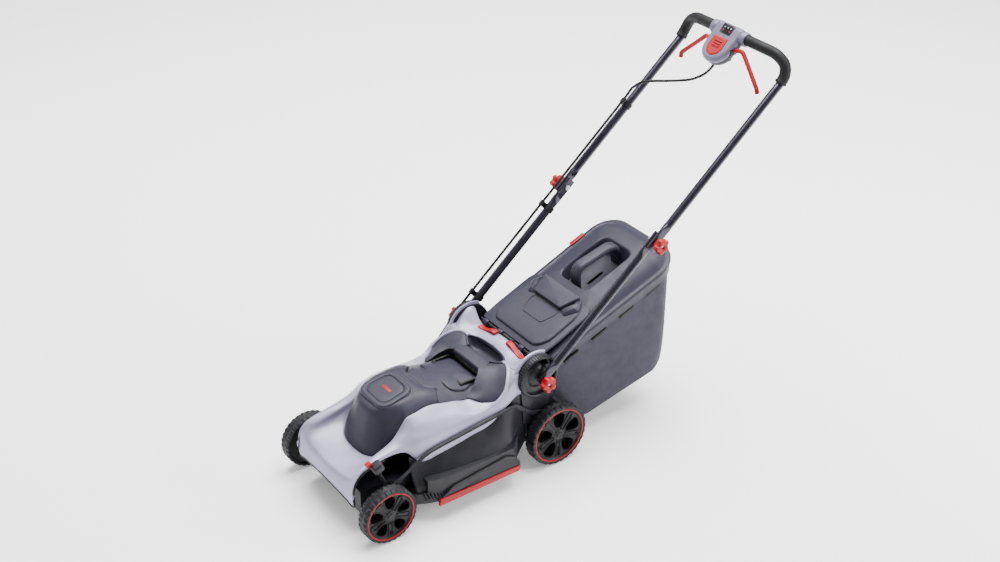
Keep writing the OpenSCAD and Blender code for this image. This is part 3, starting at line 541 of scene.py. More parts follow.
# ---- covers ----
# Lines that run from the nose's middle round to the rear of the cover's left half. Each
# line has one point for each of the same stations, so the net between them is the cover.
COVER_EDGE = [(0, -74, 118), (62, -72, 112), (112, -69, 104), (141, -66, 98), (144, -67, 146),
              (144, -54, 178), (141, -23, 195), (141, 37, 208), (148, 97, 206), (169, 134, 172),
              (172, 205, 176), (172, 292, 188), (172, 358, 199), (171, 409, 230), (170, 452, 256),
              (170, 478, 252)]
COVER_ROLL = [(0, -73, 130), (62, -71, 124), (114, -69, 118), (142, -67, 114), (143, -66, 153),
              (143, -52, 185), (140, -21, 204), (139, 39, 217), (149, 99, 219), (169, 140, 190),
              (171, 206, 192), (171, 292, 202), (171, 358, 213), (170, 410, 246), (169, 452, 284),
              (168, 478, 288)]
COVER_BROW = [(0, -64, 151), (60, -62, 151), (108, -61, 156), (134, -60, 164), (136, -55, 175),
              (131, -36, 196), (127, 4, 212), (126, 48, 222), (143, 106, 232), (162, 146, 232),
              (167, 205, 231), (166, 292, 236), (165, 354, 245), (166, 410, 268), (164, 448, 312),
              (163, 474, 320)]
COVER_SLOPE = [(0, -50, 159), (58, -47, 161), (98, -43, 168), (116, -40, 178), (118, -32, 187),
               (116, -12, 199), (115, 22, 211), (117, 62, 224), (132, 110, 244), (146, 146, 251),
               (151, 197, 257), (151, 276, 255), (151, 340, 247), (154, 406, 266), (144, 452, 312),
               (146, 468, 320)]
COVER_DIP = [(0, -22, 164), (48, -18, 166), (80, -6, 171), (98, 8, 179), (107, 26, 189),
             (109, 46, 200), (108, 68, 217), (108, 92, 236), (116, 118, 256), (126, 146, 268),
             (128, 197, 275), (128, 272, 266), (126, 334, 255), (130, 406, 270), (120, 455, 311),
             (122, 466, 319)]
COVER_FOOT = [(0, 20, 166), (36, 22, 168), (67, 31, 172), (88, 46, 180), (99, 62, 193),
              (103, 80, 211), (103, 98, 234), (103, 115, 258), (104, 131, 278), (104, 162, 284),
              (103, 210, 288), (105, 278, 273), (107, 331, 260), (104, 394, 280), (98, 458, 307),
              (98, 465, 314)]
COVER_TUCK = [(0, 28, 157), (32, 30, 158), (62, 38, 162), (80, 52, 170), (91, 68, 184),
              (95, 86, 202), (95, 104, 224), (95, 121, 246), (96, 137, 264), (96, 163, 271),
              (95, 210, 276), (96, 278, 262), (98, 331, 249), (95, 394, 268), (90, 458, 294),
              (90, 466, 300)]


class MOWER_OT_cover(bpy.types.Operator):
    """Silver cover: the net through its seven named lines, mirrored, with a wall."""
    bl_idname = "mower.cover"
    bl_label = "Top cover"

    def execute(self, context):
        s = context.scene.mower_sizes
        v = net([COVER_EDGE, COVER_ROLL, COVER_BROW, COVER_SLOPE, COVER_DIP, COVER_FOOT,
                 COVER_TUCK], 7, 6)
        v[:, 0, 0] = 0
        piece("top_shell", both(grid(v)), "deck", "pale", ["top_cover"],
              wall=s.cover_wall, smooth=50)
        # thin black lip under the nose and round the wheel openings
        edge = spline(COVER_EDGE, 7) + [0, 2.0, -4]
        piece("cover_lip", both(tube(edge[:50], 3.2, 10)), "deck", "black", ())
        return {"FINISHED"}


DOME_FRONT = [(0, 24, 160), (35, 26, 162), (65, 35, 166), (85, 50, 174), (97, 68, 190),
              (102, 90, 218), (103, 116, 254), (104, 134, 278), (103, 212, 287), (102, 236, 287)]
DOME_LOW = [(0, 27, 184), (34, 29, 184), (62, 38, 188), (81, 53, 197), (92, 72, 214),
            (97, 94, 238), (99, 118, 266), (100, 138, 286), (99, 212, 296), (98, 238, 295)]
DOME_MID = [(0, 44, 236), (30, 46, 237), (54, 56, 241), (70, 70, 250), (79, 88, 264),
            (84, 108, 280), (86, 128, 294), (87, 148, 301), (85, 214, 307), (81, 246, 303)]
DOME_RIM = [(0, 62, 284), (26, 64, 285), (46, 73, 289), (59, 87, 294), (66, 104, 300),
            (70, 124, 306), (72, 142, 310), (72, 170, 313), (70, 214, 313), (64, 250, 305)]
DOME_TOP = [(0, 80, 297), (18, 82, 297), (34, 90, 298), (44, 101, 301), (49, 116, 305),
            (51, 134, 309), (52, 150, 312), (52, 180, 316), (50, 208, 316), (46, 229, 309)]
DOME_CREST = [(0, 96, 300), (0, 100, 301), (0, 105, 302), (0, 114, 304), (0, 126, 307),
              (0, 140, 310), (0, 154, 313), (0, 184, 318), (0, 208, 317), (0, 227, 309)]


class MOWER_OT_dome(bpy.types.Operator):
    """Motor dome with its raised oval pad."""
    bl_idname = "mower.dome"
    bl_label = "Motor dome"

    def execute(self, context):
        v = net([DOME_FRONT, DOME_LOW, DOME_MID, DOME_RIM, DOME_TOP, DOME_CREST], 6, 6)
        v[:, 0, 0] = 0
        v[-1, :, 0] = 0
        piece("motor_dome", both(grid(v)), "deck", "charcoal", ["motor_cover"],
              wall=3, smooth=50)
        tilt = math.radians(10.5)
        ey = (0, math.cos(tilt), math.sin(tilt))
        ez = (0, -math.sin(tilt), math.cos(tilt))
        outer = corners([(-66, -58), (66, -58), (62, 56), (-62, 56)], 40, 12)
        levels = [(0, -10), (0, 0), (1, 3.5), (3, 5), (6, 5.6), (15, 6.0), (16.5, 5.2),
                  (17.5, 3.6), (19.5, 3.4), (20.5, 4.6), (22, 5.0), (30, 5.4), (42, 5.4)]
        piece("dome_pad", [slab(outer, levels, (0, 136, 310.5), (1, 0, 0), ey, ez)], "deck",
              "charcoal", ["badge_pad"], smooth=50)
        # plain bar in the middle of the pad
        bar = corners([(-20, -5), (20, -5), (20, 5), (-20, 5)], 3, 4)
        piece("dome_bar", [slab(bar, soft_levels(0, 1.0, 0.4), (2, 136, 315.6), (1, 0, 0), ey, ez)],
              "deck", "red", ())
        return {"FINISHED"}


# Inner edge, middle and outer edge of the dark frame beside the battery, from its foot to the bar.
FRAME_IN = [(106, 330, 264), (101, 347, 272), (95, 362, 284), (84, 379, 297), (74, 392, 305),
            (62, 400, 308)]
FRAME_MID = [(124, 344, 263), (126, 366, 269), (122, 392, 282), (108, 414, 297), (88, 430, 306),
             (60, 424, 308)]
FRAME_OUT = [(146, 362, 246), (158, 384, 254), (160, 414, 276), (130, 442, 308), (100, 462, 316),
             (54, 443, 305)]


def deck_height(x, y):
    """Top of the dark deck behind the dome: it falls away to the rear and to each side."""
    mid = np.interp(y, [226, 260, 300, 340, 402], [305, 302, 296, 289, 280])
    side = np.interp(y, [226, 240, 285, 332, 402], [290, 288, 273, 263, 262])
    return mid - (mid - side) * (np.abs(x) / 105) ** 2.6


class MOWER_OT_carry(bpy.types.Operator):
    """Dark frame round the battery with the carrying bar, the deck and the second recess."""
    bl_idname = "mower.carry"
    bl_label = "Carrying frame"

    def execute(self, context):
        parts = []
        y = np.linspace(226, 336, 23)[:, None]
        half = np.interp(y, [226, 240, 336], [102, 104, 107])
        x = np.linspace(-1, 1, 49)[None] * half
        parts.append(slabbed(x, y + 0 * x, deck_height(x, y) - 1.5, 5))
        y = np.linspace(334, 402, 15)[:, None]
        x = 67 + (np.interp(y, [334, 361, 402], [107, 98, 80]) - 67) * np.linspace(0, 1, 13)[None]
        parts += both(slabbed(x, y + 0 * x, deck_height(x, y) - 1.5, 5))
        tab = corners([(-40, -24), (40, -24), (60, -2), (66, 12), (-66, 12), (-60, -2)], 5, 5)
        lap = slab(tab, [(0, -5), (0, 0), (5, 2.6), (7, 2.8), (15, 2.8)], (0, 250, 0),
                   (1, 0, 0), (0, 1, 0), (0, 0, 1))
        lap[0][:, 2] += deck_height(lap[0][:, 0], lap[0][:, 1])
        parts.append(lap)
        # frame sides, each with an inner wall, and the bar between them
        under = [(p[0] - 1, p[1] + 3, p[2] - 26) for p in FRAME_IN]
        lip = [(p[0] - 1, p[1], p[2] - 3) for p in FRAME_IN]
        v = net([under, lip, FRAME_IN, FRAME_MID, FRAME_OUT], 7, 5)
        parts += both(grid_thick(v, (0.3, 0, 0.95), 3))
        u = np.linspace(-1, 1, 41)[:, None]
        ring = corners([(398, 292), (399, 305), (404, 308), (438, 308), (444, 304), (440, 292),
                        (414, 284)], 3, 4)
        w = u * np.interp(ring[None, :, 0], [398, 444], [66, 56])
        v = np.stack([w, ring[None, :, 0] + 0 * u, ring[None, :, 1] + 2 * (1 - u ** 2)], -1)
        parts.append(grid(v, True, True))
        rim = np.array([(52, 445, 306), (76, 456, 312), (84, 466, 314), (74, 478, 312),
                        (48, 488, 312), (0, 491, 313)])
        rim = spline(np.concatenate([rim, rim[-2::-1] * [-1, 1, 1]]), 6)
        parts.append(tube(rim, 3.5, 10))
        x = np.linspace(-1, 1, 33)[None]
        y = np.linspace(442, 490, 17)[:, None]
        w = x * np.interp(y, [442, 456, 468, 490], [54, 78, 82, 50])
        bowl = 30 * (1 - np.abs(x) ** 5) * (1 - np.abs((y - 466) / 26) ** 5).clip(0)
        parts.append(slabbed(w, y + 0 * x, 309 - bowl + 0.05 * (y - 446), 4))
        piece("carry_frame", parts, "deck", "charcoal", ["carry_cover"],
              smooth=42)
        seam = np.array([(104, 236, 289), (86, 243, 296), (64, 250, 302), (44, 227, 305),
                         (0, 226, 308)])
        seam = np.concatenate([seam, seam[-2::-1] * [-1, 1, 1]])
        seam_and_bar_shade = [tube(seam, 1.4, 8)]
        # black bar under the carrying bar's front edge: painted shade where the bar shadows the deck behind
        # the battery cap
        x = np.linspace(-60, 60, 23)
        seam_and_bar_shade.append(tube(np.stack([x, 404 + 0 * x, 284 + 0 * x], -1), 6, 10))
        piece("carry_seams", seam_and_bar_shade, "deck", "black", ())
        cap = corners([(-82, 292), (78, 292), (84, 340), (64, 390), (-64, 390), (-84, 340)],
                      [26, 26, 12, 10, 10, 12], 8)
        flat = slab(cap, [(10, -1), (0, -1), (0, 1), (1.5, 2.2), (5, 2.4), (24, 2.4), (45, 2.4)],
                    (0, 0, 0), (1, 0, 0), (0, 1, 0), (0, 0, 1))
        flat[0][:, 2] += deck_height(flat[0][:, 0], flat[0][:, 1])
        pack = corners([(-58, 341), (58, 341), (58, 397), (-58, 397)], 6, 5)
        block = slab(pack, soft_levels(201.5, 276, 2), (0, 0, 0), (1, 0, 0), (0, 1, 0), (0, 0, 1))
        piece("pack_cap", [flat, block], "battery", "charcoal", ["battery_pack"],
              smooth=40)
        edge = np.stack([cap[:, 0] * 1.02, cap[:, 1] - 0.8, 0 * cap[:, 0]], -1)
        edge[:, 2] = deck_height(edge[:, 0], edge[:, 1]) + 0.6
        edge = np.concatenate([edge, edge[:1]])
        piece("pack_gap", [tube(edge, 1.1, 8)], "battery", "black", ())
        return {"FINISHED"}


def slabbed(x, y, z, t):
    """Sheet over a grid with a flat copy t below it, closed round its border."""
    top = np.stack([x, y, z], -1)
    return grid_thick(top, (0, 0, 1), t)


def grid_thick(top, up, t):
    """Closed solid between a grid of points and its copy moved t along -up."""
    top = np.asarray(top, float)
    low = top - unit(np.asarray(up, float)) * t
    rows, cols = top.shape[:2]
    k = np.arange(rows * cols).reshape(rows, cols)
    rim = np.concatenate([k[0, :-1], k[:-1, -1], k[-1, :0:-1], k[:0:-1, 0]])
    nxt = np.roll(rim, -1)
    n = rows * cols
    f = faces_of(rows, cols)
    g = [[i + n for i in c[::-1]] for c in f]
    wall = np.stack([rim, rim + n, nxt + n, nxt], -1).tolist()
    return np.concatenate([top.reshape(-1, 3), low.reshape(-1, 3)]), f + g + wall


# Rows of the silver bridge behind the recess, from the middle out to the hub arch.
BRIDGE = [[(0, 490, 312), (50, 487, 312), (78, 478, 312), (98, 465, 315), (122, 464, 320),
           (142, 465, 320), (156, 468, 312)],
          [(0, 508, 322), (50, 506, 320), (82, 499, 316), (104, 491, 318), (124, 488, 328),
           (143, 490, 341), (156, 492, 342)],
          [(0, 526, 326), (50, 526, 322), (86, 522, 314), (106, 518, 317), (126, 512, 336),
           (145, 512, 353), (157, 514, 356)],
          [(0, 538, 321), (50, 538, 317), (88, 536, 310), (108, 533, 314), (128, 529, 334),
           (146, 530, 352), (157, 534, 354)],
          [(0, 543, 306), (50, 543, 304), (88, 541, 300), (108, 539, 304), (128, 536, 322),
           (146, 538, 342), (157, 542, 344)]]


class MOWER_OT_rear_cover(bpy.types.Operator):
    """Silver bridge behind the carrying bar with ribs out to the hub arches."""
    bl_idname = "mower.rear_cover"
    bl_label = "Rear bridge"

    def execute(self, context):
        parts = both(grid_thick(net(BRIDGE, 6, 6), (0, 0, 1), 5))
        rib = [(84, 468, 315), (102, 467, 317), (124, 456, 314), (146, 438, 300), (162, 418, 280),
               (166, 394, 262), (160, 370, 248)]
        sec = corners([(-6, -4), (6, -4), (5, 4), (-5, 4)], 3, 4)
        parts += both(ribbon(spline(rib, 7), sec))
        piece("rear_bridge", parts, "deck", "pale", (), smooth=45)
        return {"FINISHED"}


class MOWER_OT_catches(bpy.types.Operator):
    """Two wavy red levers on the rear bridge."""
    bl_idname = "mower.catches"
    bl_label = "Release levers"

    def execute(self, context):
        parts = []
        u = np.linspace(0, 1, 17)[None]
        w = np.linspace(-1, 1, 13)[:, None]
        for sgn in (-1, 1):
            x = sgn * (28 + 76 * u) + 0 * w
            y = 525 + 9 * w - 4 * u
            z = 333 - 15 * u + 3.5 * np.sin(u * np.pi * 2.2) - 1.5 * w ** 2
            parts.append(slabbed(x, y, z, 8))
        piece("release_levers", parts, "catches", "red", ["flap_catches"],
              bevel=1.5)
        return {"FINISHED"}


class MOWER_OT_hubs(bpy.types.Operator):
    """Arched shrouds round the handle pivots: a ribbed shell, a silver arc and an inner dome."""
    bl_idname = "mower.hubs"
    bl_label = "Hub shrouds"

    def execute(self, context):
        parts = []
        y0, z0 = PIVOT
        prof = [(64, 152), (65, 172), (63, 181), (59, 183), (56, 181), (54, 160), (44, 157),
                (40, 160), (36, 171), (24, 180), (10, 183), (0.01, 184)]
        parts.append(lathe([(0.01, 150)] + prof, (0, y0, z0), n=72))
        strut = corners([(-46, -150), (30, -150), (56, -20), (40, 30), (-40, 30), (-58, -20)], 8, 4)
        parts.append(slab(strut, soft_levels(162, 172, 2), (0, y0, z0), (0, 1, 0), (0, 0, 1),
                          (1, 0, 0)))
        a = np.radians(np.linspace(212, 62, 31))
        arc = np.stack([0 * a + 158, y0 + 65 * np.cos(a), z0 + 65 * np.sin(a)], -1)
        edge = corners([(-9, -3), (9, -3), (7, 3), (-9, 3)], 2, 4)
        piece("hub_arcs", both_all([ribbon(arc, edge, up=(1, 0, 0))]), "deck", "pale", (),
              smooth=40)
        for t in np.radians(np.arange(66, 204, 7)):
            rib = [(q, y0 + 64.4 * math.cos(t), z0 + 64.4 * math.sin(t)) for q in (165, 180)]
            parts.append(tube(rib, 1.6, 8))
        piece("hub_shrouds", both_all(parts), "deck", "deck",
              ["handle_mount_left", "handle_mount_right"])
        return {"FINISHED"}


def both_all(parts):
    """Every part and its mirror image."""
    return parts + [mirrored(p) for p in parts]


class MOWER_OT_flanks(bpy.types.Operator):
    """Dark deck sides below the silver cover, side plates with ribs, and red strips."""
    bl_idname = "mower.flanks"
    bl_label = "Deck sides"

    def execute(self, context):
        top = [(160, 100, 196), (167, 136, 172), (170, 205, 176), (171, 292, 190),
               (171, 358, 199), (169, 409, 230), (166, 446, 252), (160, 482, 250)]
        swoop = [(166, 100, 160), (174, 138, 156), (183, 205, 158), (189, 292, 165),
                 (187, 358, 176), (178, 409, 200), (168, 446, 220), (162, 484, 214)]
        waist = [(176, 100, 128), (190, 140, 126), (205, 205, 128), (211, 292, 134),
                 (207, 358, 144), (191, 409, 160), (172, 446, 180), (164, 486, 176)]
        hem = [(186, 102, 100), (205, 140, 96), (221, 205, 94), (227, 292, 100),
               (223, 358, 108), (205, 409, 120), (178, 446, 134), (168, 488, 136)]
        foot = [(188, 104, 64), (209, 142, 60), (226, 205, 58), (228, 292, 58), (227, 358, 58),
                (217, 409, 58), (184, 446, 62), (168, 488, 96)]
        piece("deck_sides", both(grid(net([top, swoop, waist, hem, foot], 8, 8))), "deck", "deck",
              (), wall=2.5, smooth=50)
        plate = corners([(148, 60), (420, 60), (422, 80), (404, 106), (374, 119), (350, 115),
                         (196, 99), (158, 76)], 7, 5)
        lift = [(0, 222), (0, 229), (1, 230.5), (4, 231), (7, 229.6), (9, 229.4), (12, 229.4)]
        skirt = [slab(plate, lift, (0, 0, 0), (0, 1, 0), (0, 0, 1), (1, 0, 0))]
        bar = corners([(-2.2, -4), (2.2, -4), (2.2, 4), (-2.2, 4)], 1, 3)
        for k in range(7):
            y = 116 + 9.5 * k
            z = 84 - 1.6 * k
            p = np.array([[204 + 2.2 * k, y, z + 12], [214 + 2.2 * k, y + 4, z - 6]])
            skirt.append(ribbon(spline(p, 4), bar))
        piece("side_plates", both_all(skirt), "deck", "deck", ["skirt_left", "skirt_right"],
              smooth=30)
        strip = corners([(149, 52), (417, 52), (421, 69), (153, 74)], 3, 4)
        piece("side_strips", both_all([slab(strip, soft_levels(224, 232.4, 1.0), (0, 0, 0),
              (0, 1, 0), (0, 0, 1), (1, 0, 0))]), "deck", "red", ["skirt_trims"])
        return {"FINISHED"}


# ---- handle ----
def knob(side, x, y, z, r):
    """Clamp knob: a five-lobed turned form whose lobes swell away from its neck, with
    hollows between the lobes and a hole through the middle."""
    prof = [(9, 0), (12, 2), (14, 6), (r - 2, 10), (r, 14), (r, 25), (r - 2, 28.6), (r - 5, 29.4),
            (10, 29.0), (7, 28.0), (5.2, 26), (5.0, 16)]
    grow = np.array([0, 0.1, 0.4, 1, 1, 1, 1, 0.8, 0.2, 0, 0, 0])

    def wobble(a, i):
        wave = np.cos(5 * a)
        return grow[i] * (3.0 * np.sign(wave) * np.abs(wave) ** 0.6 - 2.6)
    body = lathe([(p, side * (x + q)) for p, q in prof], (0, y, z), n=80, wobble=wobble)
    dots = []
    for k in range(5):
        a = 2 * np.pi * (k + 0.5) / 5
        c = (side * (x + 12), y + 13 * math.cos(a), z + 13 * math.sin(a))
        d = (side * (x + 28), y + 13 * math.cos(a), z + 13 * math.sin(a))
        dots.append(tube(np.linspace(c, d, 3), 3.4, 10, up=(0, 0, 1)))
    return body, dots


class MOWER_OT_knobs(bpy.types.Operator):
    """Four clamp knobs."""
    bl_idname = "mower.knobs"
    bl_label = "Clamp knobs"

    def execute(self, context):
        r = context.scene.mower_sizes.knob_r
        for where in ("lower_left", "lower_right", "upper_left", "upper_right"):
            lo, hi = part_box(where.replace("_", "_knob_"))
            side = 1 if hi[0] > 0 else -1
            x = min(abs(lo[0]), abs(hi[0])) * 1000 + 1.2
            y = ((lo[1] + hi[1]) / 2 - AXLE_Y) * 1000
            z = (lo[2] + hi[2]) / 2 * 1000
            body, dots = knob(side, x, y, z, r)
            piece(where + "_knob_grip", [body] + dots, where + "_knob", "red",
                  [where.replace("_", "_knob_")], smooth=40)
        return {"FINISHED"}


def handle_bar(x_tube, x_flat, s, flat_w, ends):
    """Tube along the slope whose ends are pressed flat: the half width grows and the half
    thickness shrinks smoothly over the last stretch at each end named in ends."""
    press = np.zeros_like(s)
    for at, reach in ends:
        press = np.maximum(press, 1 - np.clip((np.abs(s - at) - reach) / 24, 0, 1))
    press = press ** 2 * (3 - 2 * press)
    path = slope_at(x_tube + (x_flat - x_tube) * press, s)
    half_t = 12 + (5.0 - 12) * press
    half_w = 12 + (flat_w - 12) * press
    return path, half_t, half_w


def oval(path, n, b, half_t, half_w, sides):
    """Bar with an oval section, half_t along n and half_w along b: a superellipse that
    turns squarer as it gets flatter."""
    a = np.linspace(0, 2 * np.pi, sides, endpoint=False)
    e = 2 + 6 * np.clip(1 - half_t / 12, 0, 1)[:, None]
    c = np.sign(np.cos(a)) * np.abs(np.cos(a))[None] ** (2 / e)
    d = np.sign(np.sin(a)) * np.abs(np.sin(a))[None] ** (2 / e)
    v = (path[:, None] + (half_t[:, None] * c)[..., None] * n[:, None]
         + (half_w[:, None] * d)[..., None] * b[:, None])
    return grid(v, True, True)


def pressed_tube(path, half_t, half_w):
    """Oval bar whose thickness stays across the mower and whose width stays in the slope."""
    t = unit(np.gradient(path, axis=0))
    n = unit(np.array([1.0, 0, 0])[None] - t * t[:, :1])
    return oval(path, n, np.cross(t, n), half_t, half_w, 28)


def bent_tube(path, half_t, half_w):
    """Oval bar whose section turns with its path, so that a bend stays round."""
    t = unit(np.gradient(path, axis=0))
    normal = np.array([0, -math.sin(SLOPE), math.cos(SLOPE)])
    n = unit(np.cross(np.broadcast_to(normal, t.shape), t))
    return oval(path, n, np.cross(t, n), half_t, half_w, 24)


LOOP_Y = PIVOT[0] + LOOP_S * math.cos(SLOPE)
LOOP_Z = PIVOT[1] + LOOP_S * math.sin(SLOPE)
LOOP_HALF = [(207, LOOP_Y, LOOP_Z), (207, LOOP_Y + 15, LOOP_Z + 22),
             (196, LOOP_Y + 22, LOOP_Z + 49), (165, LOOP_Y + 17, LOOP_Z + 70),
             (120, LOOP_Y + 7, LOOP_Z + 78), (60, LOOP_Y, LOOP_Z + 82)]


class MOWER_OT_handle(bpy.types.Operator):
    """Lower tubes, the upper looped tube and its foam grips."""
    bl_idname = "mower.handle"
    bl_label = "Handle"

    def execute(self, context):
        s = np.concatenate([np.linspace(-13, 90, 40), np.linspace(100, 390, 12),
                            np.linspace(400, JOINT_S + 26, 40)])
        for side, name in ((1, "left"), (-1, "right")):
            path, ht, hw = handle_bar(195, 194.8, s, 14.5, [(0, 34), (JOINT_S, 36)])
            part = pressed_tube(path * [side, 1, 1], ht, hw)
            piece("lower_bar_" + name, [part], "lower_handle", "tube", ["lower_tube_" + name],
                  smooth=60)
        s = np.concatenate([np.linspace(JOINT_S - 26, JOINT_S + 90, 44),
                            np.linspace(JOINT_S + 100, LOOP_S - 20, 14)])
        path, ht, hw = handle_bar(207, 206.8, s, 14.5, [(JOINT_S, 36)])
        loop = spline([slope_at(207, LOOP_S - 20)] + LOOP_HALF
                      + [(-p[0], p[1], p[2]) for p in LOOP_HALF[::-1]]
                      + [slope_at(-207, LOOP_S - 20)], 6)
        whole = np.concatenate([path[:-1], loop, (path[:-1] * [-1, 1, 1])[::-1]])
        n = len(path) - 1
        ht = np.concatenate([ht[:n], np.full(len(loop), 12.0), ht[:n][::-1]])
        hw = np.concatenate([hw[:n], np.full(len(loop), 12.0), hw[:n][::-1]])
        piece("upper_bar", [bent_tube(whole, ht, hw)], "upper_handle", "tube", ["upper_tube"],
              smooth=60)
        for side, name in ((1, "left"), (-1, "right")):
            p = spline(LOOP_HALF, 8) * [side, 1, 1]
            d = np.concatenate([[0], np.cumsum(np.linalg.norm(np.diff(p, axis=0), axis=1))])
            r = 16.2 + 1.6 * np.exp(-((d - 3) / 3.5) ** 2) + 1.2 * np.exp(-((d[-1] - d) / 5) ** 2)
            piece("grip_foam_" + name, [tube(p, r, 28)], "upper_handle", "foam",
                  ["grip_" + name], smooth=60)
        return {"FINISHED"}


# ---- controls ----
TILT = math.radians(43)
BOX_AT = (0, LOOP_Y - 1, LOOP_Z + 82)
BOX_U = (0, -math.cos(TILT), -math.sin(TILT))
BOX_W = (0, -math.sin(TILT), math.cos(TILT))


class MOWER_OT_controls(bpy.types.Operator):
    """Control box with display, paddle and bail levers."""
    bl_idname = "mower.controls"
    bl_label = "Controls"

    def execute(self, context):
        def on_box(outline, levels, at=(0, 0, 0)):
            ex, ey, ez = (1, 0, 0), np.array(BOX_U), np.array(BOX_W)
            o = np.array(BOX_AT) + at[0] * np.array(ex) + at[1] * ey + at[2] * ez
            return slab(outline, levels, o, ex, ey, ez)
        a = np.linspace(0, np.pi, 25)
        nose = np.stack([49 * np.cos(a), 58 + 46 * np.sin(a)], -1)
        rear = corners([(-49, 58), (-54, -21), (54, -21), (49, 58)], [0.1, 14, 14, 0.1], 6)
        shape = np.concatenate([nose, rear[6:18]])
        top = [(10, 2), (1, 2), (0, 4), (0, 10), (1.5, 14.5), (5, 18.5), (9, 20.3), (14, 20.8),
               (30, 20.8)]
        low = [(12, -20), (5, -18), (2, -14), (1, -8), (1.2, 2.4)]
        piece("control_top", [on_box(shape, top)], "upper_handle", "mid", ["control_box"],
              smooth=40)
        collars = both(lathe([(13, 47), (20, 47), (21, 50), (21, 64), (19, 68), (13, 68)],
                             BOX_AT, n=40))
        piece("control_base", [on_box(shape, low)], "upper_handle", "charcoal", (),
              smooth=40)
        piece("control_collars", collars, "upper_handle", "mid", ())
        win = corners([(-23, -17), (23, -17), (21, 15), (-21, 15)], 4, 5)
        piece("display", [on_box(win, soft_levels(17, 21.6, 0.8), (0, 2, 0))], "upper_handle",
              "glass", ["display_window"])
        lamps, reds = [], []
        dot = corners([(-2.2, -2.2), (2.2, -2.2), (2.2, 2.2), (-2.2, 2.2)], 2, 4)
        for k, x in enumerate((-12, 0, 12)):
            lamps.append(on_box(dot, soft_levels(21, 22.1, 0.4), (x, -4, 0)))
            if k != 1:
                reds.append(on_box(dot, soft_levels(21, 22.1, 0.4), (x, 6, 0)))
        piece("display_marks", lamps, "upper_handle", "pale", ())
        piece("display_lamps", reds, "upper_handle", "red", ())
        round_end = np.stack([29 * np.cos(a), 58 + 31 * np.sin(a)], -1)
        flat_end = corners([(-29, 58), (-27, 26), (27, 26), (29, 58)], [0.1, 5, 5, 0.1], 5)
        pad = np.concatenate([round_end, flat_end[5:15]])
        grips = [on_box(pad, [(0, 12), (0, 20), (1, 22), (3, 23), (12, 22.4), (22, 22.0)])]
        row = corners([(-14, -1.8), (14, -1.8), (14, 1.8), (-14, 1.8)], 1.6, 4)
        for k in range(3):
            grips.append(on_box(row, soft_levels(22, 24.4, 1.0), (0, 42 + 8 * k, 0)))
        piece("paddle_pad", grips, "paddle", "red", ["drive_paddle"], smooth=40)
        lever = spline([(34, 1295, 1020), (60, 1302, 1026), (75, 1305, 1026), (90, 1303, 1013),
                        (124, 1296, 981), (150, 1290, 957), (158, 1289, 947), (160, 1290, 936)], 8)
        r = 6.6 + 0.5 * np.sin(np.arange(len(lever)) * np.pi * 0.9)
        cross = np.array([[-36, -6, 0], [0, -6, 0], [36, -6, 0]]) + [0, LOOP_Y - 28, LOOP_Z + 48]
        piece("bail_bars", both(tube(lever, r, 18)) + [tube(cross, 5, 14)], "bail", "red",
              ["bail_levers"], smooth=50)
        socket = corners([(-14, -10), (14, -10), (14, 10), (-14, 10)], 4, 5)
        sockets = slab(socket, soft_levels(40, 50, 2), (0, LOOP_Y - 34, LOOP_Z + 48), (0, 1, 0),
                       (0, 0, 1), (1, 0, 0))
        piece("lever_sockets", both(sockets), "upper_handle", "black", ())
        return {"FINISHED"}


# ---- cable ----
class MOWER_OT_cable(bpy.types.Operator):
    """Control cable in one stretch for each body that it is clipped to."""
    bl_idname = "mower.cable"
    bl_label = "Cable"

    def execute(self, context):
        head = spline([(6, 1270, 992), (0, 1266, 968), (-20, 1256, 940), (-50, 1240, 917), (-80, 1218, 907),
                       (-110, 1190, 902), (-140, 1162, 898), (-166, 1144, 888),
                       (-190, 1132, 866)], 6)
        run = slope_at(-205, np.linspace(803, JOINT_S + 0.2, 30), 27)
        piece("cable_head", [tube(np.concatenate([head, run]), 4, 12, up=(0.3, 0.9, 0.31))],
              "upper_handle", "black", ["cable_upper"])
        run = slope_at(-205, np.linspace(JOINT_S - 0.2, 4, 30), 27)
        piece("cable_middle", [tube(run, 4, 12, up=(0.3, 0.9, 0.31))], "lower_handle", "black",
              ["cable_lower"])
        tail = np.concatenate([[slope_at(-205, 3.5, 27)], spline([(-202, 486, 300),
                              (-196, 465, 282), (-187, 437, 266), (-174, 405, 250)], 8)])
        piece("cable_end", [tube(tail, 4, 12, up=(0.3, 0.9, 0.31))], "deck", "black",
              ["cable_tail"])
        return {"FINISHED"}


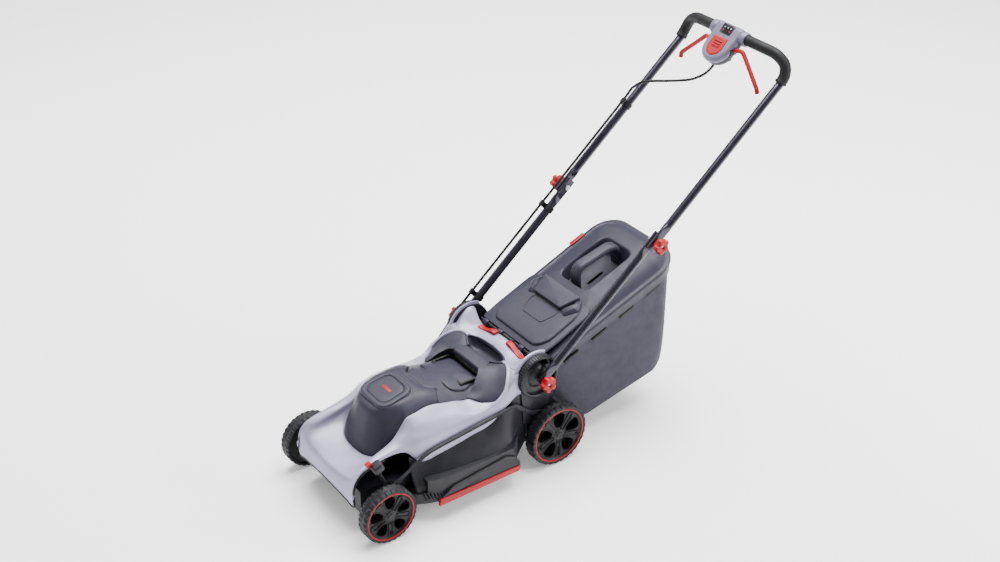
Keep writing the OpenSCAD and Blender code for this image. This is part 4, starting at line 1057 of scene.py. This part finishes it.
# ---- height adjustment ----
class MOWER_OT_height(bpy.types.Operator):
    """Lever paddle, red height marker, scale ticks and the ribbed link rod."""
    bl_idname = "mower.height"
    bl_label = "Height adjustment"

    def execute(self, context):
        path = spline([(176, 40.4, 139.3), (176, 66, 152), (176, 110, 175), (176, 158, 198),
                       (176, 252, 210), (176, 346, 220), (176, 424, 229), (176, 444, 228),
                       (176, 470, 206), (176, 500, 184), (176, 560, 167), (176, 608.9, 152.5)], 8)
        sec = corners([(-2.2, -6), (2.2, -6), (2.2, 6), (-2.2, 6)], 1.5, 3)
        rod = [ribbon(path, sec)]
        for off in (-3.6, 3.6):
            rod.append(tube(path + [1.6, 0, off], 1.6, 8))
        piece("height_rod", rod, "link_rod_unit", "deck", ["link_rod"])
        y0, z0 = 40.4, 102.2
        a = math.radians(112.6)
        e = np.array([0, math.cos(a), math.sin(a)])
        g = np.array([0, -math.sin(a), math.cos(a)])
        at = np.array([0, y0, z0])
        arm = [at + e * 20 + [163, 0, 0], at + e * 70 + [164, 0, 0], at + e * 112 + [166, 0, 0],
               at + e * 130 + [172, 0, 0]]
        flat = corners([(-4, -9), (4, -9), (4, 9), (-4, 9)], 3, 4)
        pad = corners([(-17, -15), (17, -15), (15, 17), (-15, 17)], 9, 6)
        lever = [ribbon(spline(arm, 6), flat, up=(1, 0, 0)),
                 slab(pad, soft_levels(-13, 14, 7, 5), at + e * 134 + np.array([181, 0, 0]),
                      (1, 0, 0), -g, e)]
        piece("height_grip", lever, "front_axle_unit", "deck", ["height_lever"],
              smooth=50)
        mark = corners([(-8, -8), (8, -8), (8, 8), (-8, 8)], 2, 4)
        piece("height_marker", [slab(mark, soft_levels(0, 10, 1.5), at + e * 139 +
              np.array([168, -14, 0]), (1, 0, 0), -g, e)], "front_axle_unit", "red", ())
        ticks = []
        bar = corners([(-5, -1), (5, -1), (5, 1), (-5, 1)], 0.6, 3)
        for k in range(7):
            y = 20 + 17 * k
            ticks.append(slab(bar, soft_levels(-2, 1.2, 0.4), (132, y, 213.5 + 0.17 * (y - 20)),
                              (1, 0, 0), (0, 1, 0.17), (0, 0, 1)))
        piece("height_scale", ticks, "deck", "pale", ())
        return {"FINISHED"}


# ---- rear flap ----
class MOWER_OT_flap(bpy.types.Operator):
    """Rear flap: a shield with a raised panel, a finger pocket, a flat hood and hinge eyes."""
    bl_idname = "mower.flap"
    bl_label = "Rear flap"

    def execute(self, context):
        tilt = math.atan2(404 - 330, 748 - 572)
        ey = np.array([0, math.cos(tilt), math.sin(tilt)])
        ez = np.array([0, -math.sin(tilt), math.cos(tilt)])
        ex = np.array([1.0, 0, 0])
        at = np.array([0, 552, 322.0])

        def shape(points, r, levels, lift=0.0):
            return slab(corners(points, r, 7), levels, at + ez * lift, ex, ey, ez)
        parts = [shape([(-132, 0), (132, 0), (136, 60), (134, 190), (118, 208), (-118, 208),
                        (-134, 190), (-136, 60)], [10, 10, 18, 12, 10, 10, 12, 18],
                       soft_levels(-4, 3, 2)),
                 shape([(-92, 18), (92, 18), (118, 50), (116, 168), (92, 206), (-92, 206),
                        (-116, 168), (-118, 50)], [14, 14, 24, 30, 8, 8, 30, 24],
                       [(0, 0), (0, 4), (2, 8), (5, 9.5), (9, 10), (60, 10)])]
        # hood: a flat band across the rear of the panel, with shoulders that fall to its edge
        parts.append(shape([(-60, 150), (60, 150), (82, 212), (-82, 212)], [4, 4, 8, 8],
                           [(0, 12), (0, 22), (1.5, 24), (4, 24.6)]))
        for m in (1, -1):
            wing = [(58 * m, 150), (84 * m, 140), (108 * m, 178), (84 * m, 212)][::m]
            parts.append(shape(wing, 8, [(0, 6), (0, 12), (6, 17), (14, 20)]))
        # pocket: sunk quad with a lip
        pocket = corners([(-44, 0), (44, 0), (60, 44), (52, 66), (-52, 66), (-60, 44)], 8, 5)
        parts.append(slab(pocket, [(0, 9), (0, 11.4), (1.6, 12), (3, 11.4), (4, 8), (18, 5)],
                          at + ey * 84, ex, ey, ez))
        for s in (-118, -50, 50, 98):
            parts.append(lathe([(4.4, s), (8, s), (8.6, s + 2), (8.6, s + 18), (8, s + 20),
                                (4.4, s + 20)], (0, 549, 316), n=28))
        piece("flap_shield", parts, "flap", "charcoal", ["rear_flap"],
              smooth=38)
        # black slab under the hood's front edge: painted shadow where the pocket runs in under the hood
        hood_shadow = shape([(-59, 149), (59, 149), (60, 158), (-60, 158)], 2,
                    [(0, 9), (0, 19), (2, 20)])
        piece("flap_gap", [hood_shadow], "flap", "black", ())
        return {"FINISHED"}


# ---- collector box ----
class MOWER_OT_collector(bpy.types.Operator):
    """Collector box: crowned lid with a rim, hand recess and handle, sagging sides, slots."""
    bl_idname = "mower.collector"
    bl_label = "Collector box"

    def execute(self, context):
        # lid in plan: straight sides and round rear corners; the crown swells from the rim to
        # the edge of the hand recess, then the surface drops down the recess to its floor
        def outline(inset):
            y = np.concatenate([np.linspace(BOX_Y + inset, BOX_END - 86, 60),
                                BOX_END - 86 + (86 - inset) * np.sin(np.linspace(0.03, 1, 40)
                                * np.pi / 2)])
            w0 = np.interp(y, [BOX_Y, 700, BOX_END], [150, 157, 164]) - inset
            t = np.clip((y - (BOX_END - 86)) / (86 - inset), 0, 1)
            w = w0 - 80 + 80 * np.sqrt(np.maximum(1 - t ** 2.2, 0))
            right = np.stack([w, y], -1)
            return np.concatenate([right, right[::-1] * [-1, 1]])

        def recess(inset):
            o = outline(40) - [0, 859]
            a = np.arctan2(o[:, 1] / 87, o[:, 0] / 65)
            p = 6.0
            k = (np.abs(np.cos(a)) ** p + np.abs(np.sin(a)) ** p) ** (-1 / p)
            return np.stack([(65 - inset) * k * np.cos(a), 859 + (87 - inset) * k * np.sin(a)], -1)
        rings = []
        for inset, h in ((6, -37), (2, -36), (1, -14), (0, -11), (0, -3), (1.5, -0.8), (4, 0),
                         (11, 0.4), (13, 1.6), (20, 9), (32, 19), (44, 25.5), (56, 29.5)):
            o = outline(inset)
            h_front = np.clip((o[:, 1] - 596) / 150, 0.0, 1)
            z = lid_z(o[:, 1]) + (h if h <= 1 else 1 + (h - 1) * h_front)
            rings.append(np.concatenate([o, z[:, None]], 1))
        for inset, h in ((-5, 35), (-2, 35.2), (0, 33.5), (1.5, 28), (4, -8), (6, -13), (10, -15),
                         (60, -15)):
            o = recess(inset)
            z = lid_z(o[:, 1]) + h
            rings.append(np.concatenate([o, z[:, None]], 1))
        piece("lid_shell", [grid(np.array(rings), True)], "collector", "charcoal", ["box_lid"],
              smooth=40)
        # grip bar over the recess with two legs
        bar = spline([(0, 789, 374), (0, 787, 420), (0, 786, 448), (0, 792, 464), (0, 808, 473),
                      (0, 850, 483), (0, 888, 493), (0, 910, 496), (0, 926, 489), (0, 933, 470),
                      (0, 936, 430)], 7)
        sec = corners([(-19, -7), (19, -7), (16, 8), (-16, 8)], 6, 5)
        piece("lid_handle", [ribbon(bar, sec[:, ::-1], up=(1, 0, 0))], "collector", "charcoal",
              ["box_handle"], smooth=50)
        # body: side profile swept in to its rounded rear, walls pulled in between the corners
        y = np.array([BOX_Y, 604, 634, 660, 712, 730, 850, 975, 1023, 1034])
        z_low = np.array([200, 178, 148, 96, 60, 60, 87, 114, 156, 200])
        t = np.linspace(0, 1, 27)
        ys = BOX_Y + (1034 - BOX_Y) * (1 - (1 - t) ** 1.25)
        low = np.interp(ys, y, z_low)
        rows = []
        for f in np.linspace(0, 1, 19):
            w0 = np.interp(ys, [BOX_Y, 700, 1034], [144, 149, 152])
            k = np.clip((ys - (1034 - 60)) / 60, 0, 1)
            w = w0 - 60 + 60 * np.sqrt(np.maximum(1 - k ** 2.3, 0.0))
            high = lid_z(ys) - 12
            z = low + (high - low) * f
            sag = 5 * np.sin(np.pi * f) * np.sin(np.pi * np.clip((ys - 600) / 400, 0, 1))
            rows.append(np.stack([w - sag - 8 * (1 - f) ** 6, ys, z], -1))
        side = np.array(rows)
        under = side[0] * [0, 1, 1] + [0, 0, -3]
        half = np.concatenate([np.linspace(under, side[0], 6)[:-1], side])
        full = np.concatenate([half[::-1] * [-1, 1, 1], half[1:]])
        rear = full[:, -1:]
        full = np.concatenate([full] + [rear * [1 - f, 1, 1] + [0, 5 * f ** 0.5, 0]
                                        for f in (0.15, 0.4, 0.7, 1.0)], 1)
        piece("box_shell", [grid(full)], "collector", "fabric", ["box_body"],
              wall=3, smooth=50)
        slots = []
        slot = corners([(-27, -5), (27, -5), (27, 5), (-27, 5)], 2, 3)
        sy = (math.cos(LID_SLOPE), math.sin(LID_SLOPE))
        for y0 in (654, 752, 850, 948):
            slots.append(slab(slot, soft_levels(140, 158.5, 1), (0, y0, float(lid_z(y0)) - 44),
                              (0, sy[0], sy[1]), (0, -sy[1], sy[0]), (1, 0, 0)))
        piece("lid_slots", both_all(slots), "collector", "black", ())
        tip = corners([(-7, -27), (7, -27), (7, 27), (-7, 27)], 2, 4)
        piece("fill_strip", [slab(tip, soft_levels(0.5, 5, 1), (-156, 915, float(lid_z(915))),
              (1, 0, 0), (0, sy[0], sy[1]), (0, -sy[1], sy[0]))], "indicator", "red",
              ["fill_indicator"])
        return {"FINISHED"}


# ---- frame pieces that keep their shape ----
SLOT_FINISH = {"pale_shell": "pale", "charcoal_shell": "charcoal", "dark_deck": "deck",
               "black_plastic": "black", "red_plastic": "red", "steel": "steel",
               "dark_steel": "deck", "tube_paint": "tube", "tyre_rubber": "rubber",
               "foam": "foam", "board": "black", "cord": "black"}


class MOWER_OT_frame_finishes(bpy.types.Operator):
    """Gives each kept frame piece the finish of its material slot."""
    bl_idname = "mower.frame_finishes"
    bl_label = "Frame finishes"

    def execute(self, context):
        slot_of = {s["node"]: s["material_slot"] for s in frame["record"]["subparts"]}
        slot_of.update(dict.fromkeys(("hinge_rod", "flap_spring"), "dark_steel"))
        for name, obj in frame["nodes"].items():
            obj.data.materials.clear()
            obj.data.materials.append(finish(SLOT_FINISH[slot_of[name]]))
        return {"FINISHED"}


# ---- stage ----
class MOWER_OT_stage(bpy.types.Operator):
    """Pale floor, soft studio lights and the camera."""
    bl_idname = "mower.stage"
    bl_label = "Stage"

    def execute(self, context):
        scene = context.scene
        floor = bpy.data.meshes.new("floor")
        e = 14.0
        floor.from_pydata([(-e, -e, 0), (e, -e, 0), (e, e, 0), (-e, e, 0)], [], [(0, 1, 2, 3)])
        obj = bpy.data.objects.new("floor", floor)
        scene.collection.objects.link(obj)
        floor.materials.append(finish("floor"))
        world = bpy.data.worlds.new("studio")
        scene.world = world
        world.use_nodes = True
        world.node_tree.nodes["Background"].inputs["Color"].default_value = (0.95, 0.95, 1.0, 1)
        world.node_tree.nodes["Background"].inputs["Strength"].default_value = 0.38
        lights = (("overhead", (-0.8, 1.0, 5.0), (0, 0, 0.2), 5.0, 1050),
                  ("left", (-3.6, -1.6, 2.6), (0, -0.2, 0.3), 2.2, 60),
                  ("rim", (2.8, 3.0, 2.0), (0, 0.3, 0.5), 1.4, 170))
        for name, at, to, size, power in lights:
            lamp = bpy.data.lights.new(name, "AREA")
            lamp.shape = "SQUARE"
            lamp.size = size
            lamp.energy = power
            o = bpy.data.objects.new(name, lamp)
            o.location = at
            d = np.array(to) - np.array(at)
            o.rotation_euler = (math.atan2(math.hypot(d[0], d[1]), -d[2]), 0,
                                math.atan2(d[1], d[0]) - math.pi / 2)
            scene.collection.objects.link(o)
        cam = bpy.data.cameras.new("view")
        cam.sensor_width = 36
        cam.lens = 57.83
        cam.clip_end = 50
        o = bpy.data.objects.new("view", cam)
        o.location = (3.0646, -1.7049 + AXLE_Y, 2.8332)
        o.rotation_euler = (math.radians(58.56), 0, math.radians(54.05))
        scene.collection.objects.link(o)
        scene.camera = o
        return {"FINISHED"}


OPERATORS = (MOWER_OT_frame_finishes, MOWER_OT_stage, MOWER_OT_wheels, MOWER_OT_cover,
             MOWER_OT_dome, MOWER_OT_carry, MOWER_OT_rear_cover, MOWER_OT_catches,
             MOWER_OT_hubs, MOWER_OT_flanks, MOWER_OT_knobs, MOWER_OT_handle,
             MOWER_OT_controls, MOWER_OT_cable, MOWER_OT_height, MOWER_OT_flap,
             MOWER_OT_collector)


class MOWER_PT_panel(bpy.types.Panel):
    """Sidebar list of the mower's pieces, sizes and colours."""
    bl_idname = "MOWER_PT_panel"
    bl_label = "Mower"
    bl_space_type = "VIEW_3D"
    bl_region_type = "UI"
    bl_category = "Mower"

    def draw(self, context):
        for group in (context.scene.mower_colours, context.scene.mower_sizes):
            for key in group.__annotations__:
                self.layout.prop(group, key)
        for op in OPERATORS:
            self.layout.operator(op.bl_idname)


CLASSES = (MowerColours, MowerSizes) + OPERATORS + (MOWER_PT_panel,)


def register():
    """Registers the classes and hangs the two property groups on the scene."""
    for c in CLASSES:
        bpy.utils.register_class(c)
    bpy.types.Scene.mower_colours = PointerProperty(type=MowerColours)
    bpy.types.Scene.mower_sizes = PointerProperty(type=MowerSizes)


def unregister():
    """Takes the classes and properties away again."""
    del bpy.types.Scene.mower_colours
    del bpy.types.Scene.mower_sizes
    for c in reversed(CLASSES):
        bpy.utils.unregister_class(c)


def main():
    """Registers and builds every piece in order."""
    register()
    for op in OPERATORS:
        group, name = op.bl_idname.split(".")
        getattr(getattr(bpy.ops, group), name)()


if __name__ == "__main__":
    main()
